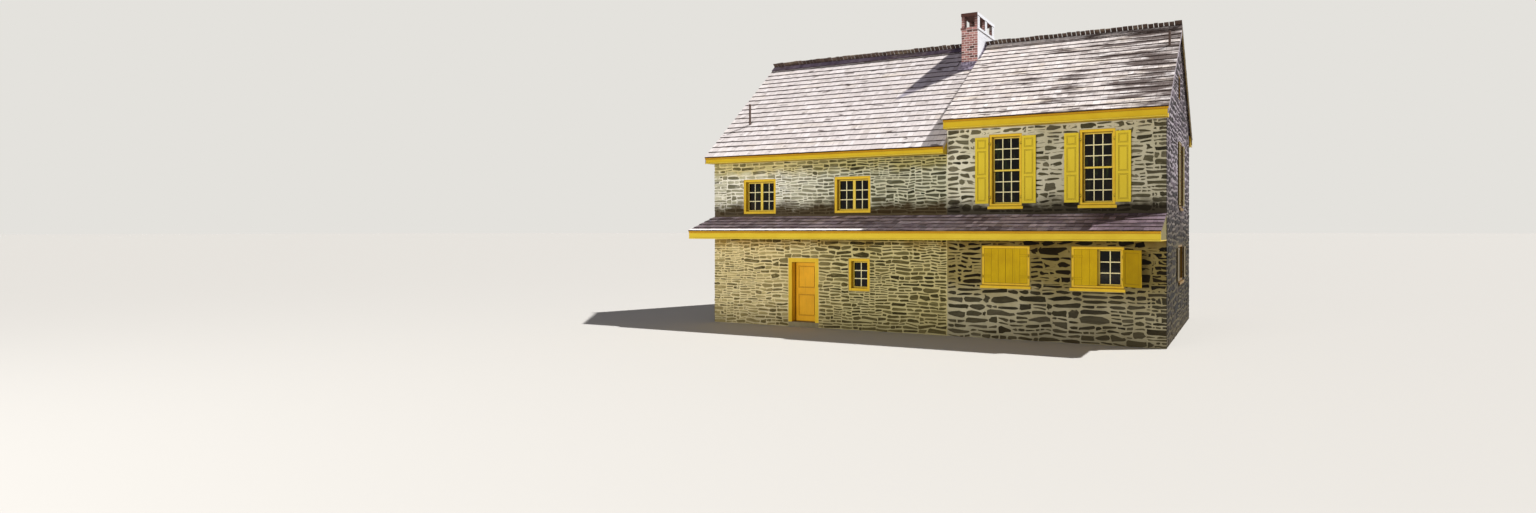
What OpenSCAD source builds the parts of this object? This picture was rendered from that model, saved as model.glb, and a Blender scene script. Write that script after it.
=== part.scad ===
// Stone house in two sections under one ridge, with a pent roof along the front.
// All sizes in millimetres. House axes: X runs right along the front from the left gable,
// Y runs back from the front wall face, Z runs up from the door sill.

/* [Sections] */
// Length of the left section, gable face to seam
left_len = 8300; // [7600:50:9200]
// Length of the right section, seam to gable face
right_len = 6030; // [5700:10:6900]
// Depth of the house, front wall face to rear wall face
depth = 7000; // [6600:50:7800]
// Thickness of the stone walls
wall_t = 450; // [350:10:550]
// Depth of the foundation below the door sill
base_depth = 150; // [100:10:400]

/* [Roof] */
// Top of the roof surface at the ridge, over the door sill
ridge_z = 8960; // [8600:20:9500]
// Top of the left eave board, over the door sill
left_eave_z = 5240; // [5150:10:5400]
// Top of the right eave board, over the door sill
right_eave_z = 5980; // [5900:10:6200]
// Distance from a wall face to the outer face of its eave board
eave_over = 300; // [200:10:450]
// Thickness of the rafters, boards and shingles, square to the slope
roof_t = 120; // [100:5:150]
// Thickness of the shingle layer alone, square to the slope
shingle_t = 35; // [20:1:45]
// Reach of the shingles beyond the boards at eaves
drip = 35; // [15:1:60]
// Height of the left eave box
left_box_h = 200; // [195:5:260]
// Height of the right eave box
right_box_h = 255; // [200:5:320]
// Roof overhang at the left gable
left_verge = 160; // [100:5:250]
// Roof overhang at the right gable
right_verge = 100; // [80:5:200]
// Reach of the shingles beyond the barge boards
side_drip = 15; // [8:1:30]
// Thickness of the barge boards
barge_t = 25; // [18:1:35]
// Width of the barge boards, square to the slope
barge_w = 150; // [120:5:200]
// Width of the ridge cap on each slope
cap_w = 180; // [120:5:260]
// Thickness of the ridge cap, measured upright
cap_t = 45; // [25:1:70]
// Thickness of the masonry step between the two roofs
step_t = 200; // [120:10:300]
// Clearance at joints on a slope, square to the slope
seat = 0.3; // [0.2:0.1:0.5]

/* [Pent roof] */
// Distance from the wall face to the outer face of the pent eave board
pent_out = 1210; // [900:10:1400]
// Top of the pent surface at the wall
pent_wall_z = 3340; // [3300:10:3370]
// Top of the pent eave board
pent_eave_z = 2850; // [2800:10:2900]
// Height of the pent eave board
pent_board_h = 250; // [200:5:300]
// Thickness of the pent deck and shingles, square to the slope
pent_t = 80; // [60:5:110]
// Thickness of the pent boards
pent_board_t = 25; // [18:1:35]

/* [Floors] */
// Top of the upper floor
upper_floor_z = 2750; // [2720:10:2850]
// Top of the left attic floor
left_attic_z = 5000; // [4900:10:5100]
// Top of the right attic floor
right_attic_z = 5950; // [5900:10:6000]
// Thickness of the joisted floors
floor_t = 250; // [180:10:260]

/* [Chimney] */
// Width of the chimney along the ridge
chimney_w = 550; // [450:10:700]
// Length of the chimney across the ridge
chimney_l = 1600; // [1200:20:1800]
// Gap from the chimney to the seam
chimney_gap = 66; // [40:2:120]
// Top of the brick shaft
shaft_z = 9390; // [9200:10:9600]
// Height of the corbel band at the shaft's top
corbel_h = 75; // [50:5:120]
// Reach of the corbel band
corbel_out = 25; // [15:1:40]
// Height of the smoke openings
vent_h = 370; // [280:10:450]
// Width of the corner and middle piers along the chimney
pier_l = 200; // [150:10:260]
// Width of the piers across the chimney
pier_w = 100; // [80:5:140]
// Thickness of the cap slab
slab_t = 95; // [50:5:120]
// Reach of the cap slab beyond the piers
slab_out = 15; // [0:1:40]
// Height of the lead flashing
lead_h = 110; // [80:5:200]
// Thickness of the lead flashing
lead_t = 12; // [6:1:20]

/* [Vent pipes] */
// Radius of the vent pipes
pipe_r = 35; // [25:1:60]
// Height of the left vent pipe above the roof
left_pipe_h = 670; // [300:10:900]
// Height of the right vent pipe above the roof
right_pipe_h = 400; // [200:10:700]
// Left vent pipe from the left gable face
left_pipe_x = 720; // [500:10:1200]
// Left vent pipe from the front wall face
left_pipe_y = 900; // [600:10:2000]
// Right vent pipe from the right gable face
right_pipe_in = 170; // [100:10:600]
// Right vent pipe from the front wall face
right_pipe_y = 2470; // [1000:10:2800]

/* [Door] */
// Width over the door frame
door_w = 1110; // [1000:10:1250]
// Height over the door frame
door_h = 2000; // [1950:10:2200]
// Centre of the door from the left gable face
door_x = 3445; // [3200:10:3700]
// Width of the door frame's face
door_jamb = 130; // [100:5:160]
// Thickness of the door leaf
door_t = 45; // [38:1:60]
// Depth of the door leaf's inner face behind the wall face
door_back = 245; // [120:5:300]
// Clearance around the door leaf
door_gap = 6; // [5:1:10]
// Width of the door leaf's stiles
door_stile = 115; // [90:5:140]
// Height of the door leaf's lock rail
lock_rail_h = 200; // [150:5:260]
// Middle of the lock rail above the sill
lock_rail_z = 960; // [850:10:1100]
// Depth of the door panels' sinking
door_sink = 10; // [5:1:14]

/* [Windows] */
// Depth of the window frames behind the wall face
frame_set = 10; // [10:1:20]
// Depth of the window frames from front to back
frame_d = 215; // [215:5:260]
// Depth of the sashes' face behind the wall face
sash_y = 130; // [60:5:130]
// Thickness of the sashes
sash_t = 40; // [30:1:42]
// Width of the sash stiles and rails
sash_w = 45; // [35:1:60]
// Thickness of the glass
glass_t = 4; // [3:1:8]
// Height of the window sills
sill_h = 75; // [60:5:100]
// Reach of the window sills
sill_out = 45; // [30:5:50]
// Length of the sill horns beyond the frame
sill_horn = 35; // [10:5:50]
// Double casement window: width over the frame
casement_w = 1250; // [1100:10:1400]
// Double casement window: height over the frame
casement_h = 1110; // [900:10:1150]
// Double casement window: bottom of the frame
casement_z = 3390; // [3380:10:3450]
// Double casement window: width of the frame's face
casement_jamb = 80; // [60:5:100]
// Small window: width over the frame
small_w = 730; // [600:10:900]
// Small window: height over the frame
small_h = 990; // [800:10:1100]
// Small window: bottom of the frame
small_z = 1030; // [900:10:1100]
// Small window: width of the frame's face
small_jamb = 85; // [60:5:100]
// Tall hung window: width over the frame
tall_w = 950; // [880:10:1050]
// Tall hung window: height over the frame
tall_h = 2005; // [1900:5:2050]
// Tall hung window: bottom of the frame
tall_z = 3530; // [3500:5:3560]
// Low window: width over the frame
low_w = 1390; // [1250:10:1450]
// Low window: height over the frame
low_h = 1105; // [900:5:1110]
// Low window: bottom of the frame
low_z = 1330; // [1200:10:1330]
// Tall and low windows: width of the frame's face
casing_w = 70; // [60:2:90]
// Attic window: width over the frame
attic_w = 620; // [500:10:700]
// Attic window: height over the frame
attic_h = 720; // [600:10:800]
// Attic window: bottom of the frame
attic_z = 6760; // [6600:10:6850]
// Attic window: width of the frame's face
attic_jamb = 70; // [50:5:90]

/* [Window places] */
// First double casement from the left gable face
casement_1_x = 1785; // [1500:10:2000]
// Second double casement from the left gable face
casement_2_x = 5190; // [4900:10:5500]
// Small window from the left gable face
small_x = 5425; // [5000:10:5700]
// First column of right windows from the seam
column_1_x = 1745; // [1600:5:1800]
// Second column of right windows from the seam
column_2_x = 4280; // [4275:5:4400]
// Right gable windows from the front wall face
gable_y = 3900; // [3300:10:4100]

/* [Shutters] */
// Thickness of the shutters
shutter_t = 35; // [28:1:38]
// Clearance between a shutter and the frame at its edges
shutter_gap = 8; // [6:1:12]
// Width of the shutters' stiles and rails
shutter_stile = 70; // [50:2:90]
// Depth of the shutter panels' sinking
shutter_sink = 9; // [4:1:12]
// Width of the bevelled margin around a raised panel
panel_margin = 35; // [20:1:45]
// Share of a tall shutter's height above its first middle rail
top_panel_share = 0.17; // [0.12:0.01:0.25]
// Opening angle at which the second low window's right shutter rests
low_open_deg = 145; // [100:5:150]
// Radius of the hinge pins
pin_r = 5; // [4:0.5:6]
// Radius of the hinge eyes
eye_r = 9; // [8:0.5:9.5]
// Clearance between pins and eyes
pin_gap = 0.3; // [0.2:0.1:0.5]
// Length of the shutters' straps from the pin
strap_l = 260; // [150:10:320]
// Height of the hinge straps
strap_h = 40; // [25:1:60]
// Thickness of the hinge straps
strap_t = 5; // [3:0.5:6]
// Distance of the hinges from a leaf's top and bottom
hinge_in = 160; // [100:10:220]

/* [Hidden] */

$fn = 32;
total_len = left_len + right_len;
mid_y = depth / 2;

// Slopes: rise per millimetre of run, and upright thicknesses
function run() = mid_y + eave_over;
function slope_angle(eave_z) = atan((ridge_z - eave_z) / run());
function upright(t, eave_z) = t / cos(slope_angle(eave_z));
function eave_surface(eave_z) = eave_z + upright(shingle_t, eave_z);
function rise(eave_z) = (ridge_z - eave_surface(eave_z)) / run();
// Height of the roof surface at a distance y behind the front wall face, on the front slope
function top_z(eave_z, y) = ridge_z - rise(eave_z) * (mid_y - y);
// Height of the roof's underside at the same place
function under_z(eave_z, y) = top_z(eave_z, y) - upright(roof_t, eave_z);
// Height of the underside of the shingle layer, and of its middle
function board_z(eave_z, y) = top_z(eave_z, y) - upright(shingle_t, eave_z);
function mid_shingle_z(eave_z, y) = top_z(eave_z, y) - upright(shingle_t, eave_z) / 2;
// Heights at which other pieces end just clear of the underside, the shingles and the surface
function below_roof(eave_z, y) = under_z(eave_z, y) - upright(seat, eave_z);
function below_shingles(eave_z, y) = board_z(eave_z, y) - upright(seat, eave_z);
function above_roof(eave_z, y) = top_z(eave_z, y) + upright(seat, eave_z);

// The pent roof's surface, from the wall face outwards
pent_angle = atan((pent_wall_z - pent_eave_z) / pent_out);
pent_upright = pent_t / cos(pent_angle);
pent_shingle = shingle_t / cos(pent_angle);
pent_rise = (pent_wall_z - pent_eave_z - pent_shingle) / pent_out;
function pent_z(y) = pent_wall_z + pent_rise * y;
function below_pent(y) = pent_z(y) - pent_upright - seat / cos(pent_angle);
function below_pent_shingles(y) = pent_z(y) - pent_shingle - seat / cos(pent_angle);
pent_bottom = pent_eave_z - pent_board_h;

chimney_x1 = left_len - chimney_gap;
chimney_x0 = chimney_x1 - chimney_w;
chimney_y0 = mid_y - chimney_l / 2;
slab_z = shaft_z + vent_h;

door_x0 = door_x - door_w / 2;
door_x1 = door_x + door_w / 2;
leaf_w = door_w - 2 * (door_jamb + door_gap);
leaf_h = door_h - door_jamb - 2 * door_gap;
door_bottom_rail = door_stile + 60;
door_pin_in = 40;
door_pin_x = door_x0 + door_jamb - door_pin_in;
door_pin_y = door_back + eye_r;
door_frame_back = door_back - 1;
door_strap_l = 560;
knob_r = 28;
knob_reach = 48;
knob_neck_r = 10;
rose_r = 25;
rose_t = 4;

// Overreach of a cut past the face that it opens
past = 1;

// The whole house stands on its foot, with the middle of its plan over the origin
x_min = -left_verge;
x_max = total_len + right_verge;
y_min = -pent_out - drip;
y_max = depth + eave_over + drip;

wall_colour = [0.50, 0.48, 0.38];
paint_colour = [0.85, 0.70, 0.18];
shingle_colour = [0.72, 0.66, 0.63];
iron_colour = [0.15, 0.14, 0.13];

module place() {
  translate([-(x_min + x_max) / 2, -(y_min + y_max) / 2, base_depth]) children();
}

// An outline in Y and Z, drawn from x0 to x1
module slab_along_x(x0, x1, outline) {
  translate([x0, 0, 0]) rotate([90, 0, 90]) linear_extrude(x1 - x0) polygon(outline);
}

// The rear half repeats the front half behind the ridge
module rear_half() {
  translate([0, depth, 0]) mirror([0, 1, 0]) children();
}

// Kinds of window: name, width, height, bottom over the door sill, width of the frame's face
KINDS = [
  ["casement", casement_w, casement_h, casement_z, casement_jamb],
  ["small", small_w, small_h, small_z, small_jamb],
  ["tall", tall_w, tall_h, tall_z, casing_w],
  ["low", low_w, low_h, low_z, casing_w],
  ["attic", attic_w, attic_h, attic_z, attic_jamb]
];

// Windows: kind, wall, and distance along that wall
WINDOWS = [
  ["casement", "front", casement_1_x], ["casement", "front", casement_2_x],
  ["small", "front", small_x],
  ["tall", "front", left_len + column_1_x], ["tall", "front", left_len + column_2_x],
  ["low", "front", left_len + column_1_x], ["low", "front", left_len + column_2_x],
  ["tall", "right", gable_y], ["low", "right", gable_y], ["attic", "right", mid_y],
  ["casement", "rear", casement_1_x], ["casement", "rear", casement_2_x],
  ["small", "rear", casement_1_x], ["small", "rear", casement_2_x],
  ["tall", "rear", left_len + column_1_x], ["tall", "rear", left_len + column_2_x],
  ["low", "rear", left_len + column_1_x], ["low", "rear", left_len + column_2_x],
  ["casement", "left", mid_y], ["small", "left", mid_y], ["attic", "left", mid_y]
];
function spec(kind) = [for (k = KINDS) if (k[0] == kind) k][0];
function win_w(kind) = spec(kind)[1];
function win_h(kind) = spec(kind)[2];
function win_z(kind) = spec(kind)[3];
function win_jamb(kind) = spec(kind)[4];
function has_sill(kind) = kind == "tall" || kind == "low";

// Stands a piece on a wall's outer face: local X along the wall, Y into it, Z up
module on_wall(wall, along, z) {
  if (wall == "front") translate([along, 0, z]) children();
  if (wall == "right") translate([total_len, along, z]) rotate([0, 0, 90]) children();
  if (wall == "rear") translate([along, depth, z]) rotate([0, 0, 180]) children();
  if (wall == "left") translate([0, along, z]) rotate([0, 0, -90]) children();
}

module each_window() {
  for (w = WINDOWS) on_wall(w[1], w[2], win_z(w[0])) {
    $kind = w[0];
    $w = win_w(w[0]);
    $h = win_h(w[0]);
    $jamb = win_jamb(w[0]);
    children();
  }
}

// The holes that windows need in a wall, from its outer face to past its inner face
module window_holes(wall) {
  for (w = WINDOWS) if (w[1] == wall) {
    drop = has_sill(w[0]) ? sill_h : 0;
    on_wall(wall, w[2], win_z(w[0]) - drop)
      translate([-win_w(w[0]) / 2, -past, 0])
        cube([win_w(w[0]), wall_t + 2 * past, win_h(w[0]) + drop]);
  }
}

// A long wall's outline in Y and Z, with its top cut to the roof's underside
function long_wall(eave_z) = [
  [0, -base_depth], [wall_t, -base_depth],
  [wall_t, below_roof(eave_z, wall_t)], [0, below_roof(eave_z, 0)]
];

// The upper part only, from a height up
function wall_over(eave_z, z) = [
  [0, z], [wall_t, z], [wall_t, below_roof(eave_z, wall_t)], [0, below_roof(eave_z, 0)]
];

// A gable wall's outline between the long walls
function gable(eave_z) = [
  [wall_t, -base_depth], [depth - wall_t, -base_depth],
  [depth - wall_t, below_roof(eave_z, wall_t)], [mid_y, below_roof(eave_z, mid_y)],
  [wall_t, below_roof(eave_z, wall_t)]
];

module front_wall(x0, x1, eave_z) {
  difference() {
    slab_along_x(x0, x1, long_wall(eave_z));
    window_holes("front");
  }
}

module rear_wall(x0, x1, eave_z) {
  difference() {
    rear_half() slab_along_x(x0, x1, long_wall(eave_z));
    window_holes("rear");
  }
}

module door_sill() {
  color([0.62, 0.60, 0.54]) place()
    translate([door_x0, 0, -base_depth]) cube([door_w, wall_t, base_depth]);
}

module front_wall_left() {
  color(wall_colour) place() front_wall(0, door_x0, left_eave_z);
}

module front_wall_over_door() {
  color(wall_colour) place() slab_along_x(door_x0, door_x1, wall_over(left_eave_z, door_h));
}

module front_wall_middle() {
  color(wall_colour) place() front_wall(door_x1, left_len, left_eave_z);
}

module front_wall_right() {
  color(wall_colour) place() front_wall(left_len, total_len, right_eave_z);
}

module rear_wall_left() {
  color(wall_colour) place() rear_wall(0, left_len, left_eave_z);
}

module rear_wall_right() {
  color(wall_colour) place() rear_wall(left_len, total_len, right_eave_z);
}

module left_gable_wall() {
  color(wall_colour) place() difference() {
    slab_along_x(0, wall_t, gable(left_eave_z));
    window_holes("left");
  }
}

module right_gable_wall() {
  color(wall_colour) place() difference() {
    slab_along_x(total_len - wall_t, total_len, gable(right_eave_z));
    window_holes("right");
  }
}

// Masonry on the right attic floor, which closes the step between the two roofs
module roof_step_wall() {
  color(wall_colour) place() difference() {
    slab_along_x(left_len, left_len + step_t, [
      [wall_t, under_z(left_eave_z, wall_t)], [mid_y, under_z(left_eave_z, mid_y)],
      [depth - wall_t, under_z(left_eave_z, wall_t)], [depth - wall_t, below_roof(right_eave_z, wall_t)],
      [mid_y, below_roof(right_eave_z, mid_y)], [wall_t, below_roof(right_eave_z, wall_t)]
    ]);
    translate([left_len - past, wall_t - past, left_attic_z])
      cube([step_t + 2 * past, depth - 2 * wall_t + 2 * past, right_attic_z - left_attic_z]);
  }
}

// The space of the brick shaft
module chimney_hole() {
  translate([chimney_x0, chimney_y0, -base_depth]) cube([chimney_w, chimney_l, shaft_z + base_depth]);
}

module floor_slab(x0, x1, top, thick) {
  difference() {
    translate([x0, wall_t, top - thick]) cube([x1 - x0, depth - 2 * wall_t, thick]);
    chimney_hole();
  }
}

module ground_floor() {
  color([0.55, 0.45, 0.33]) place() floor_slab(wall_t, total_len - wall_t, 0, base_depth);
}

module upper_floor() {
  color([0.55, 0.42, 0.28]) place()
    floor_slab(wall_t, total_len - wall_t, upper_floor_z, floor_t);
}

module attic_floors() {
  color([0.55, 0.42, 0.28]) place() {
    floor_slab(wall_t, left_len, left_attic_z, floor_t);
    floor_slab(left_len, total_len - wall_t, right_attic_z, floor_t);
  }
}

// The front slope of a roof: a deck, and a shingle layer from x0 to x1 that reaches further.
// The deck enters the shingle layer to its middle, so the two are one solid at any size.
module roof_slope(x0, x1, deck_x0, deck_x1, eave_z) {
  back = -eave_over + barge_t;
  slab_along_x(deck_x0, deck_x1, [
    [back, mid_shingle_z(eave_z, back)], [mid_y, mid_shingle_z(eave_z, mid_y)],
    [mid_y, under_z(eave_z, mid_y)], [back, under_z(eave_z, back)]
  ]);
  slab_along_x(x0, x1, [
    [-eave_over - drip, board_z(eave_z, -eave_over - drip)],
    [-eave_over - drip, top_z(eave_z, -eave_over - drip)],
    [mid_y, top_z(eave_z, mid_y)], [mid_y, board_z(eave_z, mid_y)]
  ]);
}

module left_slope() {
  difference() {
    roof_slope(-left_verge, left_len, -left_verge + side_drip + barge_t, left_len, left_eave_z);
    chimney_hole();
  }
}

module right_slope() {
  roof_slope(left_len, total_len + right_verge, left_len,
    total_len + right_verge - side_drip - barge_t, right_eave_z);
}

module roof_left_front() { color(shingle_colour) place() left_slope(); }
module roof_left_rear() { color(shingle_colour) place() rear_half() left_slope(); }
module roof_right_front() { color(shingle_colour) place() right_slope(); }
module roof_right_rear() { color(shingle_colour) place() rear_half() right_slope(); }

// A folded cap that sits astride the ridge
module cap_over(x0, x1, eave_z) {
  low = above_roof(eave_z, mid_y - cap_w);
  peak = above_roof(eave_z, mid_y);
  slab_along_x(x0, x1, [
    [mid_y - cap_w, low], [mid_y, peak], [mid_y + cap_w, low],
    [mid_y + cap_w, low + cap_t], [mid_y, peak + cap_t], [mid_y - cap_w, low + cap_t]
  ]);
}

module ridge_cap() {
  color([0.27, 0.20, 0.17]) place() {
    cap_over(-left_verge, chimney_x0 - lead_t, left_eave_z);
    cap_over(left_len, total_len + right_verge, right_eave_z);
  }
}

// A closed box under the eave: its board faces out and its soffit meets the wall
module eave_box(x0, x1, eave_z, box_h) {
  back = -eave_over + barge_t;
  slab_along_x(x0, x1, [
    [-eave_over, below_shingles(eave_z, -eave_over)], [-eave_over, eave_z - box_h],
    [0, eave_z - box_h], [0, below_roof(eave_z, 0)],
    [back, below_roof(eave_z, back)], [back, below_shingles(eave_z, back)]
  ]);
}

module boxed_eaves() {
  left_end = -left_verge + side_drip + barge_t;
  right_end = total_len + right_verge - side_drip - barge_t;
  color(paint_colour) place() {
    eave_box(left_end, left_len, left_eave_z, left_box_h);
    eave_box(left_len, right_end, right_eave_z, right_box_h);
    rear_half() eave_box(left_end, left_len, left_eave_z, left_box_h);
    rear_half() eave_box(left_len, right_end, right_eave_z, right_box_h);
  }
}

// Two boards that meet at the peak, under the shingles' edge
module barge(x0, eave_z) {
  w = upright(barge_w, eave_z);
  outer = -eave_over;
  slab_along_x(x0, x0 + barge_t, [
    [outer, below_shingles(eave_z, outer)], [mid_y, below_shingles(eave_z, mid_y)],
    [depth - outer, below_shingles(eave_z, outer)], [depth - outer, below_shingles(eave_z, outer) - w],
    [mid_y, below_shingles(eave_z, mid_y) - w], [outer, below_shingles(eave_z, outer) - w]
  ]);
}

module barge_boards() {
  color(paint_colour) place() {
    barge(-left_verge + side_drip, left_eave_z);
    barge(total_len + right_verge - side_drip - barge_t, right_eave_z);
  }
}

// The pent roof: deck between the end boards' outer faces, shingles a little further
module pent_roof() {
  back = -pent_out + pent_board_t;
  color([0.37, 0.32, 0.35]) place() {
    slab_along_x(0, total_len, [
      [back, pent_z(back) - pent_shingle / 2], [0, pent_z(0) - pent_shingle / 2],
      [0, pent_z(0) - pent_upright], [back, pent_z(back) - pent_upright]
    ]);
    slab_along_x(-side_drip, total_len + side_drip, [
      [-pent_out - drip, pent_z(-pent_out - drip) - pent_shingle],
      [-pent_out - drip, pent_z(-pent_out - drip)],
      [0, pent_z(0)], [0, pent_z(0) - pent_shingle]
    ]);
  }
}

module pent_eave_board() {
  color(paint_colour) place() slab_along_x(0, total_len, [
    [-pent_out, pent_bottom], [-pent_out + pent_board_t, pent_bottom],
    [-pent_out + pent_board_t, below_pent_shingles(-pent_out + pent_board_t)],
    [-pent_out, below_pent_shingles(-pent_out)]
  ]);
}

module pent_soffit() {
  color(paint_colour) place()
    translate([0, -pent_out + pent_board_t, pent_bottom])
      cube([total_len, pent_out - pent_board_t, pent_board_t]);
}

module pent_end_boards() {
  low = pent_bottom + pent_board_t;
  back = -pent_out + pent_board_t;
  color(paint_colour) place() for (x = [0, total_len - pent_board_t])
    slab_along_x(x, x + pent_board_t, [
      [back, low], [0, low], [0, below_pent(0)], [back, below_pent(back)]
    ]);
}

// The brick shaft runs from the foundation up through the ridge, and ends in a corbel band
module chimney_shaft() {
  color([0.54, 0.32, 0.28]) place() union() {
    chimney_hole();
    translate([chimney_x0 - corbel_out, chimney_y0 - corbel_out, shaft_z - corbel_h])
      cube([chimney_w + 2 * corbel_out, chimney_l + 2 * corbel_out, corbel_h]);
  }
}

// Six short piers stand on the shaft and leave smoke openings between them
module chimney_piers() {
  color([0.54, 0.32, 0.28]) place()
    for (x = [chimney_x0, chimney_x1 - pier_w])
      for (y = [chimney_y0, mid_y - pier_l / 2, chimney_y0 + chimney_l - pier_l])
        translate([x, y, shaft_z]) cube([pier_w, pier_l, vent_h]);
}

module chimney_slab() {
  color([0.60, 0.56, 0.52]) place()
    translate([chimney_x0 - slab_out, chimney_y0 - slab_out, slab_z])
      cube([chimney_w + 2 * slab_out, chimney_l + 2 * slab_out, slab_t]);
}

// A lead collar that follows both slopes around the shaft
module chimney_flashing() {
  y0 = chimney_y0 - lead_t;
  low = above_roof(left_eave_z, y0);
  peak = above_roof(left_eave_z, mid_y);
  color([0.42, 0.46, 0.54]) place() difference() {
    slab_along_x(chimney_x0 - lead_t, chimney_x1 + lead_t, [
      [y0, low], [mid_y, peak], [depth - y0, low],
      [depth - y0, low + lead_h], [mid_y, peak + lead_h], [y0, low + lead_h]
    ]);
    chimney_hole();
  }
}

// A pipe that stands on the front slope, its foot cut to the roof's surface
module roof_pipe(x, y, eave_z, h) {
  difference() {
    translate([x, y, top_z(eave_z, y) - 2 * pipe_r]) cylinder(r = pipe_r, h = h + 2 * pipe_r);
    slab_along_x(x - 2 * pipe_r, x + 2 * pipe_r, [
      [y - 2 * pipe_r, above_roof(eave_z, y - 2 * pipe_r)],
      [y + 2 * pipe_r, above_roof(eave_z, y + 2 * pipe_r)],
      [y + 2 * pipe_r, top_z(eave_z, y) - 6 * pipe_r], [y - 2 * pipe_r, top_z(eave_z, y) - 6 * pipe_r]
    ]);
  }
}

module vent_pipes() {
  color([0.45, 0.40, 0.38]) place() {
    roof_pipe(left_pipe_x, left_pipe_y, left_eave_z, left_pipe_h);
    roof_pipe(total_len - right_pipe_in, right_pipe_y, right_eave_z, right_pipe_h);
  }
}

// A flat ring that stands upright: outer width and height, width of its members, depth range
module ring(w, h, member, y, d) {
  translate([-w / 2, y, 0]) difference() {
    cube([w, d, h]);
    translate([member, -past, member]) cube([w - 2 * member, d + 2 * past, h - 2 * member]);
  }
}

module window_frames() {
  color(paint_colour) place() each_window() ring($w, $h, $jamb, frame_set, frame_d);
}

// The light inside a frame: clear width, clear height, and its bottom
function light_w(kind) = win_w(kind) - 2 * win_jamb(kind);
function light_h(kind) = win_h(kind) - 2 * win_jamb(kind);

// Calls its child once for each sash of a window, with the sash's size, middle and depth
module each_sash() {
  each_window() {
    lw = light_w($kind);
    lh = light_h($kind);
    if ($kind == "tall") {
      half = lh / 2 + sash_w / 2;
      translate([0, sash_y, $jamb + lh - half]) { $sw = lw; $sh = half; children(); }
      translate([0, sash_y + sash_t, $jamb]) { $sw = lw; $sh = half; children(); }
    } else if ($kind == "casement" || $kind == "low") {
      for (side = [-1, 1])
        translate([side * lw / 4, sash_y, $jamb]) { $sw = lw / 2; $sh = lh; children(); }
    } else {
      translate([0, sash_y, $jamb]) { $sw = lw; $sh = lh; children(); }
    }
  }
}

module window_sashes() {
  color([0.92, 0.89, 0.76]) place() each_sash() ring($sw, $sh, sash_w, 0, sash_t);
}

module window_glass() {
  color([0.10, 0.12, 0.14]) place() each_sash()
    translate([-$sw / 2 + sash_w, (sash_t - glass_t) / 2, sash_w])
      cube([$sw - 2 * sash_w, glass_t, $sh - 2 * sash_w]);
}

module window_sills() {
  color(paint_colour) place() each_window() if (has_sill($kind)) {
    translate([-$w / 2, 0, -sill_h]) cube([$w, frame_set + frame_d, sill_h]);
    translate([-$w / 2 - sill_horn, -sill_out, -sill_h]) cube([$w + 2 * sill_horn, sill_out, sill_h]);
  }
}

module door_frame() {
  color(paint_colour) place() translate([door_x0, 0, 0]) difference() {
    cube([door_w, door_frame_back, door_h]);
    translate([door_jamb, -past, -past])
      cube([door_w - 2 * door_jamb, door_frame_back + 2 * past, door_h - door_jamb + past]);
  }
}

// A hinge strap with its eye: the pin's axis is Z, the strap runs along +X, its leaf lies at +Y
module strap(l) {
  difference() {
    union() {
      cylinder(r = eye_r, h = strap_h);
      translate([0, eye_r - strap_t, 0]) cube([l, strap_t, strap_h]);
    }
    translate([0, 0, -past]) cylinder(r = pin_r + pin_gap, h = strap_h + 2 * past);
  }
}

// The pin of that hinge, on an arm that springs from the frame behind it
module hinge_pin() {
  arm_h = strap_h / 2;
  tip = pin_r;
  translate([0, 0, -arm_h]) cylinder(r = pin_r, h = strap_h + arm_h + tip);
  translate([-pin_r, 0, -arm_h - pin_gap]) cube([2 * pin_r, frame_set, arm_h]);
}

// Heights of the two hinges of a leaf
function hinge_zs(h) = [hinge_in, h - hinge_in - strap_h];

// Shutters hang from pins on the middle of the frame's face, and fit within it when closed
function shutter_w(kind) = light_w(kind) / 2 - 1.5 * shutter_gap;
function shutter_h(kind) = light_h(kind) - 2 * shutter_gap;
function pin_x(kind) = win_w(kind) / 2 - casing_w / 2;

// Puts a left leaf's pin axis in place on a window, turned open by some degrees.
// A right leaf is the mirror image of the left one.
module hang(wall, along, kind, right, open_deg) {
  on_wall(wall, along, win_z(kind) + casing_w + shutter_gap)
    mirror([right ? 1 : 0, 0, 0]) translate([-pin_x(kind), 0, 0])
      rotate([0, 0, -open_deg]) children();
}

// A raised panel's margin, sunk into one face of a leaf
module sinking(x, z, w, h, y, d) {
  translate([x, y, z]) difference() {
    cube([w, d, h]);
    translate([panel_margin, -past, panel_margin])
      cube([w - 2 * panel_margin, d + 2 * past, h - 2 * panel_margin]);
  }
}

// A leaf with raised panels on both faces; heights lists the clear height of each panel
module panelled_leaf(w, t, stile, rails, heights, sink) {
  difference() {
    cube([w, t, rails[len(rails) - 1]]);
    for (i = [0 : len(heights) - 1]) {
      sinking(stile, rails[i], w - 2 * stile, heights[i], -past, sink + past);
      sinking(stile, rails[i], w - 2 * stile, heights[i], t - sink, sink + past);
    }
  }
}

module tall_leaf() {
  w = shutter_w("tall");
  h = shutter_h("tall");
  top_h = h * top_panel_share - shutter_stile;
  rest_h = (h - 4 * shutter_stile - top_h) / 2;
  z1 = shutter_stile;
  z2 = z1 + rest_h + shutter_stile;
  z3 = z2 + rest_h + shutter_stile;
  translate([casing_w / 2 + shutter_gap, eye_r, 0])
    panelled_leaf(w, shutter_t, shutter_stile, [z1, z2, z3, h], [rest_h, rest_h, top_h], shutter_sink);
  for (z = hinge_zs(h)) translate([0, 0, z]) strap(strap_l);
}

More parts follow.
